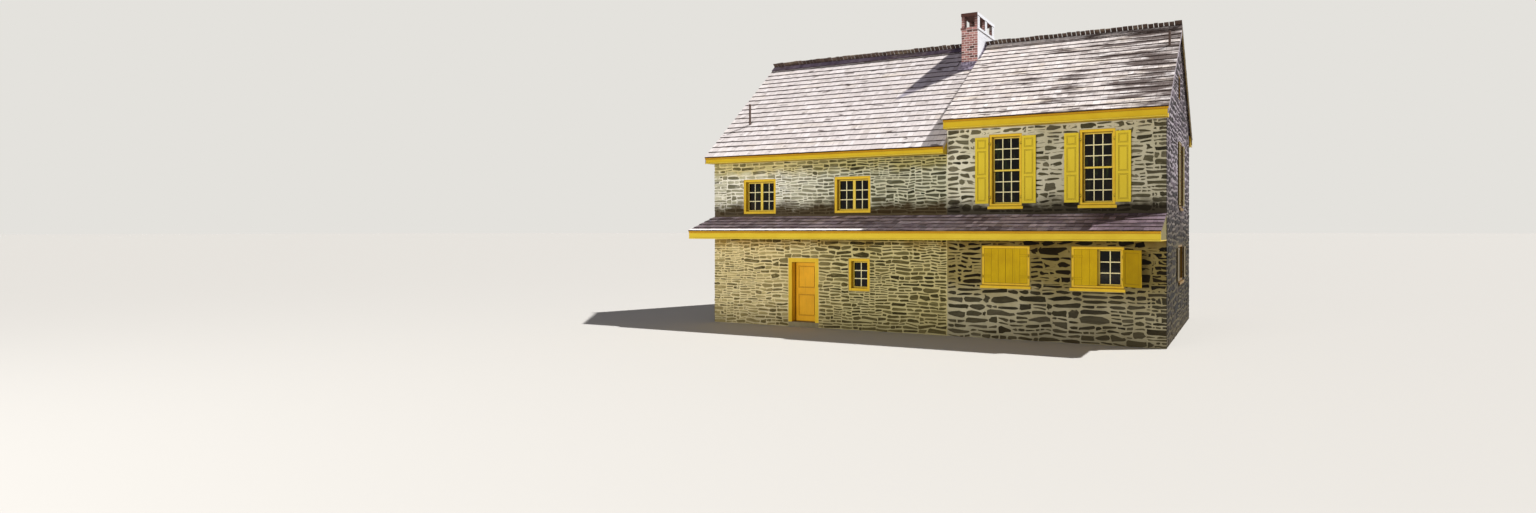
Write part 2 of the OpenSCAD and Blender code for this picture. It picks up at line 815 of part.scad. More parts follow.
// A leaf of upright boards outside, with one flat sunk panel inside
module low_leaf() {
  w = shutter_w("low");
  h = shutter_h("low");
  boards = 3;
  groove = 6;
  translate([casing_w / 2 + shutter_gap, eye_r, 0]) difference() {
    cube([w, shutter_t, h]);
    translate([shutter_stile, shutter_t - shutter_sink, shutter_stile])
      cube([w - 2 * shutter_stile, shutter_sink + past, h - 2 * shutter_stile]);
    for (i = [1 : boards - 1])
      translate([i * w / boards - groove / 2, -past, -past]) cube([groove, groove + past, h + 2 * past]);
  }
  for (z = hinge_zs(h)) translate([0, 0, z]) strap(strap_l);
}

module tall_shutter(wall, along, right, open_deg) {
  color([0.84, 0.74, 0.24]) place() hang(wall, along, "tall", right, open_deg) union() tall_leaf();
}

module low_shutter(wall, along, right, open_deg) {
  color([0.72, 0.58, 0.12]) place() hang(wall, along, "low", right, open_deg) union() low_leaf();
}

module tall_shutter_1_left() { tall_shutter("front", left_len + column_1_x, false, 180); }
module tall_shutter_1_right() { tall_shutter("front", left_len + column_1_x, true, 180); }
module tall_shutter_2_left() { tall_shutter("front", left_len + column_2_x, false, 180); }
module tall_shutter_2_right() { tall_shutter("front", left_len + column_2_x, true, 180); }
module low_shutter_1_left() { low_shutter("front", left_len + column_1_x, false, 0); }
module low_shutter_1_right() { low_shutter("front", left_len + column_1_x, true, 0); }
module low_shutter_2_left() { low_shutter("front", left_len + column_2_x, false, 0); }
module low_shutter_2_right() { low_shutter("front", left_len + column_2_x, true, low_open_deg); }
module gable_tall_shutter_left() { tall_shutter("right", gable_y, false, 180); }
module gable_tall_shutter_right() { tall_shutter("right", gable_y, true, 180); }
module gable_low_shutter_left() { low_shutter("right", gable_y, false, 180); }
module gable_low_shutter_right() { low_shutter("right", gable_y, true, 180); }

// The windows that have shutters: kind, wall and place
SHUTTERED = [for (w = WINDOWS) if (has_sill(w[0]) && w[1] != "rear") w];

module hinge_pins() {
  color(iron_colour) place() {
    for (w = SHUTTERED, right = [false, true], z = hinge_zs(shutter_h(w[0])))
      hang(w[1], w[2], w[0], right, 0) translate([0, 0, z]) hinge_pin();
    for (z = hinge_zs(leaf_h))
      translate([door_pin_x, door_pin_y, door_gap + z]) mirror([0, 1, 0]) hinge_pin();
  }
}

// The door leaf hangs on straps inside the room and opens inwards
module front_door() {
  w = leaf_w - 2 * door_stile;
  low_h = lock_rail_z - lock_rail_h / 2 - door_gap - door_bottom_rail;
  up_z = lock_rail_z + lock_rail_h / 2 - door_gap;
  up_h = leaf_h - door_stile - up_z;
  color([0.82, 0.55, 0.11]) place() union() {
    translate([door_x - leaf_w / 2, door_back - door_t, door_gap])
      panelled_leaf(leaf_w, door_t, door_stile, [door_bottom_rail, up_z, leaf_h], [low_h, up_h], door_sink);
    translate([door_pin_x, door_pin_y, door_gap])
      mirror([0, 1, 0]) for (z = hinge_zs(leaf_h)) translate([0, 0, z]) strap(door_strap_l);
  }
}

// A plain turned knob on each face of the door
module door_knob() {
  x = door_x + leaf_w / 2 - door_stile / 2;
  color(iron_colour) place() for (side = [0, 1])
    translate([x, side == 0 ? door_back - door_t : door_back, lock_rail_z])
      rotate([side == 0 ? 90 : -90, 0, 0]) {
        cylinder(r = rose_r, h = rose_t);
        cylinder(r = knob_neck_r, h = knob_reach);
        translate([0, 0, knob_reach]) sphere(r = knob_r);
      }
}

ground_floor();
upper_floor();
attic_floors();
door_sill();
front_wall_left();
front_wall_over_door();
front_wall_middle();
front_wall_right();
rear_wall_left();
rear_wall_right();
left_gable_wall();
right_gable_wall();
roof_step_wall();
roof_left_front();
roof_left_rear();
roof_right_front();
roof_right_rear();
ridge_cap();
boxed_eaves();
barge_boards();
pent_roof();
pent_eave_board();
pent_soffit();
pent_end_boards();
chimney_shaft();
chimney_piers();
chimney_slab();
chimney_flashing();
vent_pipes();
window_frames();
window_sashes();
window_glass();
window_sills();
door_frame();
hinge_pins();
front_door();
door_knob();
tall_shutter_1_left();
tall_shutter_1_right();
tall_shutter_2_left();
tall_shutter_2_right();
low_shutter_1_left();
low_shutter_1_right();
low_shutter_2_left();
low_shutter_2_right();
gable_tall_shutter_left();
gable_tall_shutter_right();
gable_low_shutter_left();
gable_low_shutter_right();
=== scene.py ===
# %% [markdown]
# A stone house with a pent roof. Its left section is laid in thin coursed schist, its right section in
# rubble, under cedar shingles, with yellow joinery and a brick chimney on the ridge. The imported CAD
# model gives every place and size. It is loaded first and is never changed: what is built here stands
# on it or takes the place of one of its solids. Lengths are metres.

# %% Load the frame
import math
import random

import bmesh
import bpy
from mathutils import Matrix, Vector, noise


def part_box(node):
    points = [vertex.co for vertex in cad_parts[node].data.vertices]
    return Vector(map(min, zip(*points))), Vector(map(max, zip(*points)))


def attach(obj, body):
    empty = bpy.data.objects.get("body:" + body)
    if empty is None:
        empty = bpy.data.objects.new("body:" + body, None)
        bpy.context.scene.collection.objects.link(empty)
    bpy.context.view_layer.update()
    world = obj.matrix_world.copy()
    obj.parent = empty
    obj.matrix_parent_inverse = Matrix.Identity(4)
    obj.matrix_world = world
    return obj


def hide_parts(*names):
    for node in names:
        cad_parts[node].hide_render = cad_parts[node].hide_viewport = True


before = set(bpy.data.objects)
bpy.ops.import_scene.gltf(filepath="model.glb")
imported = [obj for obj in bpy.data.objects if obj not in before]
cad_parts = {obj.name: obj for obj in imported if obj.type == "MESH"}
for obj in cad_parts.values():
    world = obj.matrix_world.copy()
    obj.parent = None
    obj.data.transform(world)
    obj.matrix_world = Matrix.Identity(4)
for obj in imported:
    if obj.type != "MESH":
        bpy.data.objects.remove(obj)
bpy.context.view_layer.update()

# %% [markdown]
# House axes make the sizes easy to read: X runs right along the front from the left gable, Y runs back
# from the front wall, Z runs up from the door sill. One matrix brings them into the CAD's frame. It is
# taken from the low corner of the first front wall, which stands one foundation below the sill.

# %% House axes and main sizes
FOOT, LEFT, TOTAL, DEPTH, RIDGE = -0.150, 8.300, 14.330, 7.000, 8.960
MID = DEPTH / 2
LEFT_EAVE, RIGHT_EAVE = 5.240, 5.980
PENT_WALL, PENT_EAVE, PENT_OUT, PENT_SOFFIT = 3.340, 2.850, 1.210, 2.600
CHIMNEY_X, CHIMNEY_Y, SHAFT_Z = (7.684, 8.234), (2.700, 4.300), 9.390
HOUSE = Matrix.Translation(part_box("front_wall_left")[0] - Vector((0, 0, FOOT)))
REAR_HALF = Matrix.Translation((0, DEPTH, 0)) @ Matrix.Scale(-1, 4, (0, 1, 0))
print("House axes start at", [round(c, 3) for c in HOUSE.translation])

# %% [markdown]
# The picture was taken from in front of the right gable, a little under three metres up, looking 23
# degrees to the left. The camera stands level, so that upright edges stay upright, and a small shift
# puts the house to the right of the middle, as in the picture.

# %% Camera
EYE, TURNED_LEFT = Vector((16.364, -19.370, 2.863)), 23
camera = bpy.data.objects.new("camera", bpy.data.cameras.new("camera"))
bpy.context.scene.collection.objects.link(camera)
bpy.context.scene.camera = camera
camera.data.sensor_width, camera.data.lens = 36, 17.2
camera.data.shift_x, camera.data.shift_y = -0.1133, -0.017
camera.location = HOUSE @ EYE
camera.rotation_euler = (math.radians(90), 0, math.radians(TURNED_LEFT))

# %% [markdown]
# Colours are written as they are seen, in sRGB hex, and one function turns them into the linear values
# that shaders work with. A second function adds a node: its inputs go in by name or number as values or
# links, its settings by name, and it hands back the node or one of its outputs.

# %% Colour and node helpers
def colour(code):
    parts = [int(code[i:i + 2], 16) / 255 for i in (1, 3, 5)]
    return tuple(c / 12.92 if c <= 0.04045 else ((c + 0.055) / 1.055) ** 2.4 for c in parts) + (1.0,)


def add(tree, kind, inputs=None, output=None, stops=None, **settings):
    made = tree.nodes.new("ShaderNode" + kind)
    for name, value in settings.items():
        setattr(made, name, value)
    for key, value in (inputs or {}).items():
        if isinstance(value, bpy.types.NodeSocket):
            tree.links.new(value, made.inputs[key])
        else:
            made.inputs[key].default_value = value
    for number, (place, code) in enumerate(stops or []):
        if number > 1:
            made.color_ramp.elements.new(place)
        made.color_ramp.elements[number].position = place
        made.color_ramp.elements[number].color = colour(code)
    return made if output is None else made.outputs[output]


# %% [markdown]
# A few steps come back in every finish, as they do in a painter's work. A pattern is noise whose size
# is given in millimetres, and it can be drawn out along one direction, as grain is. A wash lays a
# second colour over the first wherever a pattern is high, or multiplies, which deepens a colour and
# keeps what lies under it. Painted shade darkens corners, edges and recesses.

# %% Patterns, washes and painted corner shade
def pattern(tree, place, size, drawn_out=(1, 1, 1), detail=4.0):
    scale = [1000 / (size * out) for out in drawn_out]
    spread = add(tree, "Mapping", {"Vector": place, "Scale": scale}, "Vector")
    return add(tree, "TexNoise", {"Vector": spread, "Scale": 1.0, "Detail": detail, "Roughness": 0.6}, "Fac")


def wash(tree, under, over, mask, low, high, share, blend="MIX"):
    span = {"Value": mask, "From Min": low, "From Max": high, "To Max": share}
    factor = add(tree, "MapRange", span, "Result")
    return add(tree, "Mix", {0: factor, 6: under, 7: colour(over)}, 2, data_type="RGBA", blend_type=blend)


def each_piece(tree, tones):
    # One tone for every separate stone, brick or shingle of a mesh
    number = add(tree, "NewGeometry", {}, "Random Per Island")
    stops = [(i / (len(tones) - 1), code) for i, code in enumerate(tones)]
    return add(tree, "ValToRGB", {"Fac": number}, "Color", stops)


def corner_shade(tree, base, over, reach, low, high, share, blend="MULTIPLY"):
    # Painted shade: darker where an edge or corner hides the surface, which an occlusion node finds
    unoccluded = add(tree, "AmbientOcclusion", {"Distance": reach}, "AO", samples=8)
    return wash(tree, base, over, unoccluded, low, high, share, blend)


def start_finish(name):
    material = bpy.data.materials.new(name)
    material.use_nodes = True
    material.node_tree.nodes.clear()
    return material, material.node_tree, add(material.node_tree, "TexCoord", {}, "Object")


def end_finish(tree, base, roughness, height, strength, depth, **values):
    bump = add(tree, "Bump", {"Height": height, "Strength": strength, "Distance": depth}, "Normal")
    inputs = {"Base Color": base, "Roughness": roughness, "Normal": bump}
    inputs.update({name.replace("_", " "): value for name, value in values.items()})
    add(tree, "OutputMaterial", {"Surface": add(tree, "BsdfPrincipled", inputs, "BSDF")})


# %% [markdown]
# The front is weathered in zones that stone and mortar share, so one function works them out from the
# place of a point. Water that splashes off the pent roof has stained a band above it dark brown. Below
# the pent roof the rain never washes the wall: the left section has yellowed there, and the right one
# is painted deep brown, partly as damp and partly as the pent roof's shade. Just under the pent roof
# both sections are darkened as its painted shade. To the right of the casements the lime bloom of the
# left section is thinner, and under its eave the stone is painted darker and yellower as the eave's
# shade and the light its boards throw back. The right section is duller beyond its first window. The
# right gable is painted greyer and lilac as the shade of trees, and green brown low down as deeper
# tree shade. All walls are splashed at the foot.

# %% Weather on the walls
PENT_TOP, UNDER_EAVE = HOUSE.translation.z + PENT_WALL, HOUSE.translation.z + 4.680
FRONT_FACE = HOUSE.translation.y + 0.050
SEAM, GABLE_FACE = HOUSE.translation.x + LEFT, HOUSE.translation.x + TOTAL - 0.001


def weathered(tree, place, base, tints):
    at = add(tree, "SeparateXYZ", {"Vector": place})
    x, y, z = at.outputs["X"], at.outputs["Y"], at.outputs["Z"]
    wander = add(tree, "MapRange", {"Value": pattern(tree, place, 600), "From Min": 0.3, "From Max": 0.7,
                                    "To Min": -0.16, "To Max": 0.16}, "Result")
    height = add(tree, "Math", {0: z, 1: wander}, 0, operation="ADD")
    # Parts of the walls with a hard edge
    front, below, right, gable = [
        add(tree, "Math", {0: value, 1: limit}, 0, operation=test) for value, limit, test in (
            (y, FRONT_FACE, "LESS_THAN"), (z, PENT_TOP - 0.3, "LESS_THAN"),
            (x, SEAM, "GREATER_THAN"), (x, GABLE_FACE, "GREATER_THAN"))]
    left, above = [add(tree, "Math", {0: front, 1: rest}, 0, operation="SUBTRACT", use_clamp=True)
                   for rest in (right, below)]
    # Zones that set in between one place and another
    faded, dulled, foot, soffit, band, eave, tree_shade = [
        add(tree, "MapRange", {"Value": value, "From Min": none, "From Max": full, "To Min": least}, "Result")
        for value, none, full, least in (
            (x, SEAM - 6.2, SEAM - 3.2, 0), (x, SEAM + 1.4, SEAM + 3.0, 0), (height, 0.9, 1.6, 0.45),
            (height, PENT_TOP - 1.10, PENT_TOP - 0.75, 0), (height, PENT_TOP + 0.50, PENT_TOP + 0.16, 0),
            (height, UNDER_EAVE - 0.15, UNDER_EAVE + 0.15, 0),
            (height, PENT_TOP + 1.2, PENT_TOP - 0.9, 0))]
    # The soffit zone paints the pent roof's shade just under it, and the eave zone paints the eave's shade,
    # yellowed by light thrown back from its boards. The browned tint is partly painted shade of the pent roof,
    # and the gable's grey tint and its darkening low down paint the shade of trees.
    # Splashed water hides what lies under it, and all else only deepens it
    for zones, code in (
            ((front, below, soffit), "#D2BF94"), ((left, faded), tints.get("thinned")),
            ((left, below), tints.get("yellowed")), ((front, below, right, foot), tints.get("browned")),
            ((front, dulled), "#E0DEDA"), ((gable,), tints.get("greyed")),
            ((above, band, left), tints["wet"]), ((above, band, right), tints["wet_right"]),
            ((left, eave), "#DDD3A6"), ((gable, tree_shade), "#9A9672")):
        if code:
            mask = zones[0]
            for zone in zones[1:]:
                mask = add(tree, "Math", {0: mask, 1: zone}, 0, operation="MULTIPLY")
            share, blend = (0.95, "MIX") if band in zones else (1.0, "MULTIPLY")
            base = wash(tree, base, code, mask, 0.0, 1.0, share, blend)
    return wash(tree, base, "#4A3F28", height, 0.70, 0.0, 0.45)


# %% [markdown]
# The joints are lime mortar with sharp sand: pale cream, matt and gritty. It was trowelled by hand, so
# its tone drifts over a metre or two and its face is rough at the size of the sand. Beside the stones'
# edges it is darkened as painted shade.

# %% Lime mortar
def lime_mortar(name, pale, deep, **tints):
    material, tree, place = start_finish(name)
    # Sand grains are 1 to 3 mm; they are drawn at 12 mm, the finest size that shows
    sand = pattern(tree, place, 12)
    base = wash(tree, colour(pale), deep, pattern(tree, place, 1100), 0.35, 0.65, 1.0)
    base = wash(tree, base, "#9C9476", sand, 0.45, 0.8, 0.4)
    base = weathered(tree, place, base, dict(tints, wet="#45361C", wet_right="#292116"))
    # The mortar beside the stones' edges is darkened as painted shade
    base = corner_shade(tree, base, "#8C8468", 0.012, 0.5, 0.1, 0.5)
    end_finish(tree, base, 0.93, sand, 0.5, 0.006, Specular_IOR_Level=0.2)
    return material


MORTAR_LEFT = lime_mortar("Lime mortar with sharp sand", "#FBF7E8", "#EEE7D0", yellowed="#F2E6BE",
                          thinned="#DBDDCE")
MORTAR_RIGHT = lime_mortar("Lime mortar in ribbon joints", "#E2DCC2", "#CCC5A6", browned="#AEA276",
                           greyed="#B2ABCA")
# The gable's mortar is painted darker as the shade of trees
MORTAR_GABLE_SHADED = lime_mortar("Weathered grey lime mortar in painted tree shade", "#A0979F", "#736A70")

# %% [markdown]
# The walls are mica schist, split along its grain and laid flat. Each stone has a tone of its own, which
# comes from a random number that Blender gives to every separate stone of a mesh. Thin darker layers
# lie along the bed, 8 to 15 mm apart, and a fine grain breaks up the face.

# %% Schist
def schist(name, tones, layer, fleck, **tints):
    material, tree, place = start_finish(name)
    layers = pattern(tree, place, 14, (25, 25, 1))
    grain = pattern(tree, place, 22)
    base = wash(tree, each_piece(tree, tones), layer, layers, 0.42, 0.68, 0.7)
    base = wash(tree, base, fleck, grain, 0.55, 0.8, 0.5)
    base = wash(tree, base, fleck, pattern(tree, place, 75, (3, 3, 1)), 0.52, 0.66, 0.45)
    base = weathered(tree, place, base, dict(tints, wet="#33250F", wet_right="#191207"))
    relief = add(tree, "Math", {0: layers, 1: grain}, 0, operation="ADD")
    end_finish(tree, base, 0.85, relief, 0.5, 0.008, Specular_IOR_Level=0.25)
    return material


THIN_STONE = schist("Thin bedded mica schist", [
    "#7D7A5F", "#C9C5A7", "#9E9A7D", "#201E13", "#E2DEC1", "#B5B094", "#504D3A", "#D2CEB1", "#908A6D",
    "#F1EED3", "#69664F", "#A8A385"], "#756F53", "#DDD7C1", yellowed="#EADAAE", thinned="#9A9C90")
RUBBLE = schist("Rough mica schist rubble", [
    "#433E2B", "#706B52", "#5E5940", "#1F1C11", "#7F7962", "#534F38", "#888168", "#353220"], "#3D3829",
    "#7E765C", browned="#564724", greyed="#B4ACE0")
# The gable's rubble is purple grey and painted dark as the shade of trees
GABLE_RUBBLE_SHADED = schist("Purple grey schist rubble in painted tree shade", [
    "#120E12", "#2B242A", "#50464E", "#161114", "#1F1A1A", "#6C6068", "#140F0E", "#3A322E"], "#0E0B0D",
    "#6A5F6E")

# %% [markdown]
# Hand split cedar weathers to silver. Every shingle differs, rain has washed the grain into ridges that
# run down the slope, and lichen has left brown patches drawn out along the courses; towards the right
# gable these grow, partly as painted shade of trees. The butts, which point down the slope, are almost
# black, partly as wet end grain and partly as painted shade, and painted shade darkens the shingles
# under each butt. Beside the chimney the roof is darkened in the shape of its shadow, a painted
# shadow; the pent roof is darkened by the gable as painted tree shade, and its lip is painted pale as
# a strip of sunlight where no eave shades it.

# %% Weathered cedar shingles
PENT_LIP = HOUSE.translation.y - 1.245
# The painted shadow of the chimney lies beyond two lines on the plan: a way across each, and its place
CHIMNEY_SHADOW_EDGES = (((-0.53, 1, 0), -1.66), ((1, -0.61, 0), 4.98))


def cedar(name, tones, streak, patch, patch_from, patch_share, patches_and_shade_to_gable=0.0, at_pent=False):
    material, tree, place = start_finish(name)
    # Grain lines are 2 to 4 mm apart; they are drawn at 9 mm so that they show
    grain = pattern(tree, place, 9, (1, 22, 22))
    at = add(tree, "SeparateXYZ", {"Vector": place})
    # Past the seam the lichen patches grow towards the gable, partly as painted shade of trees
    more = add(tree, "MapRange", {"Value": at.outputs["X"], "From Min": SEAM + 0.5,
                                  "From Max": SEAM + 5.5, "To Max": patches_and_shade_to_gable}, "Result")
    lichen = add(tree, "Math", {0: pattern(tree, place, 240, (5, 1, 1), 6.0), 1: more}, 0, operation="ADD")
    base = wash(tree, each_piece(tree, tones), streak, grain, 0.48, 0.75, 0.4)
    base = wash(tree, base, "#D9C4A2", pattern(tree, place, 420, (3, 1, 1)), 0.55, 0.72, patch_share * 0.5)
    base = wash(tree, base, patch, lichen, patch_from, patch_from + 0.12, patch_share)
    base = wash(tree, base, "#4A3B38", pattern(tree, place, 110, (4, 1, 1), 1.0), 0.66, 0.72, 0.8)
    # Painted shade under each butt, where the course above hides the one below
    base = corner_shade(tree, base, "#3D302C", 0.06, 0.90, 0.60, 0.85, "MIX")
    if at_pent:
        base = wash(tree, base, "#D6CCDE", pattern(tree, place, 60, (9, 1, 1), 2.0), 0.56, 0.68, 0.55)
        # The lip is painted pale as sunlight where no eave shades it, and the end by the gable is darkened as
        # painted shade of trees
        lip, open_end, tree_shade = [
            add(tree, "MapRange", {"Value": at.outputs[axis], "From Min": none, "From Max": full}, "Result")
            for axis, none, full in (("Y", PENT_LIP + 0.175, PENT_LIP + 0.165),
                                     ("X", SEAM - 1.95, SEAM - 2.00), ("X", SEAM + 3.6, SEAM + 4.4))]
        sunlit_lip = add(tree, "Math", {0: lip, 1: open_end}, 0, operation="MULTIPLY")
        base = wash(tree, base, "#F2EAE6", sunlit_lip, 0, 1, 0.92)
        base = wash(tree, base, "#8F858B", tree_shade, 0, 1, 1, "MULTIPLY")
    else:
        # Shingles off the pent roof are darkened in the shape of the chimney's shadow, a painted shadow
        here = add(tree, "Mapping", {"Vector": place, "Location": -HOUSE.translation}, "Vector")
        y = add(tree, "SeparateXYZ", {"Vector": here}, "Y")
        chimney_shadow = add(tree, "Math", {0: at.outputs["X"], 1: SEAM}, 0, operation="LESS_THAN")
        parts = [add(tree, "Math", {0: y, 1: MID}, 0, operation="LESS_THAN")]
        for way, edge in CHIMNEY_SHADOW_EDGES:
            across = add(tree, "VectorMath", {0: here, 1: way}, "Value", operation="DOT_PRODUCT")
            span = {"Value": across, "From Min": edge - 0.05, "From Max": edge + 0.05}
            parts.append(add(tree, "MapRange", span, "Result"))
        for part in parts:
            chimney_shadow = add(tree, "Math", {0: chimney_shadow, 1: part}, 0, operation="MULTIPLY")
        base = wash(tree, base, "#B1AFBD", chimney_shadow, 0, 1, 1, "MULTIPLY")
    end_finish(tree, base, 0.8, grain, 0.5, 0.004, Specular_IOR_Level=0.2)
    return material


CEDAR = cedar("Silvered cedar shingles", [
    "#DCD2CE", "#E6DDDA", "#D3C9C5", "#EBE3E1", "#CCC2BE", "#E0D7D4"], "#C0B3AB", "#A89B95", 0.60, 0.5)
CEDAR_RIGHT = cedar("Silvered cedar shingles with lichen and painted tree shade", [
    "#DED3CD", "#EAE0DB", "#D2C7C1", "#F0E8E4", "#C8BCB6", "#E4DAD4"], "#AC9F98", "#44342F", 0.60, 0.92, 0.18)
# The pent roof's shingles are painted darker as shade, and partly as damp
CEDAR_PENT_SHADED = cedar("Damp cedar shingles painted dark as shade", [
    "#B7A4A8", "#DCC8CE", "#948385", "#F1DEE5", "#6D5F61", "#CAB6BB", "#A4909B"], "#62544F", "#5C5055",
    0.50, 0.6, at_pent=True)
# The comb's shingles are painted dark and lilac grey as shade
CEDAR_RIDGE_SHADED = cedar("Wet ridge shingles painted dark as shade", [
    "#4A3A33", "#5D4C43", "#3B2E29", "#6B5A50"], "#2E2420", "#2F2623", 0.55, 0.6)
CEDAR_SHADE = cedar("Ridge shingles painted lilac grey as shade", [
    "#6E6070", "#7E7080", "#5C5060", "#8A7C8A"], "#4A3E48", "#463A44", 0.50, 0.7)
# The butts are painted almost black, partly as wet end grain and partly as shade
SHADED_BUTTS = cedar("Wet butts of cedar shingles in painted shade", [
    "#3C322E", "#4A3F3A", "#2E2623"], "#241E1B", "#201A18", 0.5, 0.7)

# %% [markdown]
# The joinery is pine under many coats of yellow oil paint. The brush leaves fine ridges along each
# board, the coat is dustier in places, and it keeps a soft sheen. Corners and recesses are darkened as
# painted shade, the front rakes have lost their paint and show grey wood, and paint on the gable is
# painted olive and dark as the shade of trees. One function makes every paint of the house from its
# fresh and its worn colour and the way its boards run.

# %% Oil paint on pine
ALONG_X, UPRIGHT = (25, 1, 1), (1, 1, 25)


def oil_paint(name, fresh, worn, wear, run, roughness=0.45, bare_front=False, gable_shaded=False):
    material, tree, place = start_finish(name)
    # Brush marks are 1 to 2 mm apart; they are drawn at 10 mm so that they show
    strokes = pattern(tree, place, 10, run)
    base = wash(tree, colour(fresh), worn, pattern(tree, place, 500), 0.38, 0.7, wear)
    base = wash(tree, base, worn, strokes, 0.45, 0.75, 0.5)
    base = wash(tree, base, "#8A6E1C", pattern(tree, place, 70, run), 0.62, 0.8, wear)
    # Corners and recesses are darkened as painted shade
    base = corner_shade(tree, base, "#75560F", 0.045, 0.95, 0.60, 0.85)
    if bare_front:
        y = add(tree, "SeparateXYZ", {"Vector": place}, "Y")
        front = add(tree, "Math", {0: y, 1: HOUSE.translation.y + MID}, 0, operation="LESS_THAN")
        base = wash(tree, base, "#8E8490", front, 0, 1, 0.9)
    # Frames, sashes and bars on the gable are darkened as painted shade of trees
    if gable_shaded:
        x = add(tree, "SeparateXYZ", {"Vector": place}, "X")
        base = wash(tree, base, "#7E7040", x, GABLE_FACE - 0.46, GABLE_FACE - 0.45, 1.0, "MULTIPLY")
    end_finish(tree, base, roughness, strokes, 0.2, 0.002, Specular_IOR_Level=0.25)
    return material


TRIM_ACROSS = oil_paint("Yellow oil paint on long boards", "#D6B424", "#C49A10", 0.4, ALONG_X)
PENT_TRIM = oil_paint("Yellow oil paint on the pent's board", "#DCBF34", "#CCA71C", 0.4, ALONG_X)
# The crown mouldings are painted darker orange as their shade, and the beads paler as a painted highlight
CROWN_SHADED = oil_paint("Orange yellow oil paint on crown mouldings", "#CC9614", "#B4820E", 0.4, ALONG_X)
BEAD_HIGHLIT = oil_paint("Lemon oil paint on beads, paler as painted highlight", "#E4CA4A", "#D6B836", 0.3, ALONG_X)
TRIM_UPRIGHT = oil_paint("Yellow oil paint on frames", "#E6C036", "#D0A21A", 0.4, UPRIGHT, gable_shaded=True)
SHUTTER = oil_paint("Yellow oil paint on panelled shutters", "#DEC334", "#CDAF24", 0.35, UPRIGHT)
OLD_SHUTTER = oil_paint("Mustard oil paint on board shutters", "#CBA806", "#AD8A02", 0.5, UPRIGHT, 0.5)
SHADED_SHUTTER = oil_paint("Brown mustard oil paint on a leaf's inner side", "#AC8C02", "#8E7000", 0.5,
                           UPRIGHT, 0.5)
DOOR_PAINT = oil_paint("Orange yellow oil paint on the door", "#EDB12A", "#CF9420", 0.5, UPRIGHT)
TRIM_WORN = oil_paint("Yellow oil paint worn thin on the rakes", "#6E581A", "#524532", 0.7, ALONG_X,
                      bare_front=True)
# The pent's end boards are painted olive as their shade
END_BOARD_SHADED = oil_paint("Oil paint on the pent's ends, painted olive as shade", "#6E6014", "#554A12", 0.6, ALONG_X)
# The gable's shutters are painted dark as the shade of trees
GABLE_TALL_SHADED = oil_paint("Straw oil paint on the gable's tall shutters", "#857540", "#695B2F", 0.5, UPRIGHT)
GABLE_LOW_SHADED = oil_paint("Brown oil paint on the gable's low shutters", "#564512", "#42340E", 0.5, UPRIGHT)
SASH_PAINT = oil_paint("Yellow oil paint on sashes", "#E8CC58", "#D8B63C", 0.35, UPRIGHT, gable_shaded=True)
BAR_PAINT = oil_paint("Cream oil paint on glazing bars", "#F6EDBC", "#E4D898", 0.3, UPRIGHT, gable_shaded=True)

# %% [markdown]
# Old soft red brick was fired in a clamp, so each brick has its own depth of red. The bricks nearest
# the smoke openings are sooty, and corners are darkened as painted shade. The right side, which takes
# the weather, has been rendered with lime that is now almost white. The mortar is the walls' lime,
# pinker with brick dust, and the cap is a slab of red sandstone that weathers with the brick.

# %% Brick and its mortar
SHAFT_TOP = HOUSE.translation.z + SHAFT_Z
WEATHER_SIDE = HOUSE.translation.x + 8.233


def chimney_finish(name, tones, fleck, roughness):
    material, tree, place = start_finish(name)
    pits = pattern(tree, place, 14)
    base = wash(tree, each_piece(tree, tones), fleck, pits, 0.5, 0.75, 0.5)
    at = add(tree, "SeparateXYZ", {"Vector": place})
    rise = add(tree, "Math", {0: at.outputs["Z"], 1: pattern(tree, place, 120)}, 0, operation="ADD")
    base = wash(tree, base, "#33261F", rise, SHAFT_TOP + 0.45, SHAFT_TOP + 0.80, 0.75)
    weather = add(tree, "Math", {0: at.outputs["X"], 1: WEATHER_SIDE}, 0, operation="GREATER_THAN")
    worn = add(tree, "Math", {0: weather, 1: pattern(tree, place, 90)}, 0, operation="ADD")
    base = wash(tree, base, "#DCDEE2", worn, 1.22, 1.32, 0.97)
    # Corners are darkened as painted shade
    base = corner_shade(tree, base, "#5E5255", 0.05, 0.85, 0.45, 0.9)
    end_finish(tree, base, roughness, pits, 0.5, 0.004, Specular_IOR_Level=0.25)
    return material


BRICK = chimney_finish("Clamp fired red brick", [
    "#8B5853", "#B57D75", "#3B201E", "#D39993", "#9B6660", "#C28780", "#653C38"], "#80504A", 0.88)
BRICK_MORTAR = chimney_finish("Lime mortar with brick dust", ["#E8DAD2", "#DED0C8"], "#C4B2A8", 0.93)
CAP = chimney_finish("Red sandstone cap with limewash on its side", ["#8A5A52", "#96655C"], "#6A433D", 0.9)

# %% [markdown]
# The small metal parts. Lead dulls to blue grey and scatters light like a matt paint. The hinges are
# forged iron under black paint that rusts a little at the edges, and the vent pipes are cast iron gone
# brown.

# %% Lead, iron and old pipe
def dull_metal(name, main, second, metallic, roughness, size):
    material, tree, place = start_finish(name)
    clouds = pattern(tree, place, size)
    base = wash(tree, colour(main), second, clouds, 0.35, 0.65, 1.0)
    span = {"Value": clouds, "To Min": roughness - 0.1, "To Max": roughness + 0.1}
    rough = add(tree, "MapRange", span, "Result")
    end_finish(tree, base, rough, clouds, 0.2, 0.003, Metallic=metallic)
    return material


LEAD = dull_metal("Weathered sheet lead", "#B2A6BA", "#5C5264", 0.35, 0.6, 70)
IRON = dull_metal("Forged iron under black paint", "#231F1C", "#3A2A20", 0.5, 0.5, 16)
PIPE = dull_metal("Rusted cast iron pipe", "#4E3C35", "#63524A", 0.3, 0.7, 33)

# %% [markdown]
# Window glass of that age was blown and flattened, so it is slightly wavy. Seen from outside it is
# painted nearly black for the dark rooms behind it, with faint green and brown clouds painted in as
# reflections of trees. The material is a smooth dark body with the IOR of soda lime glass and a very
# low bump at the size of the waves, 60 mm.

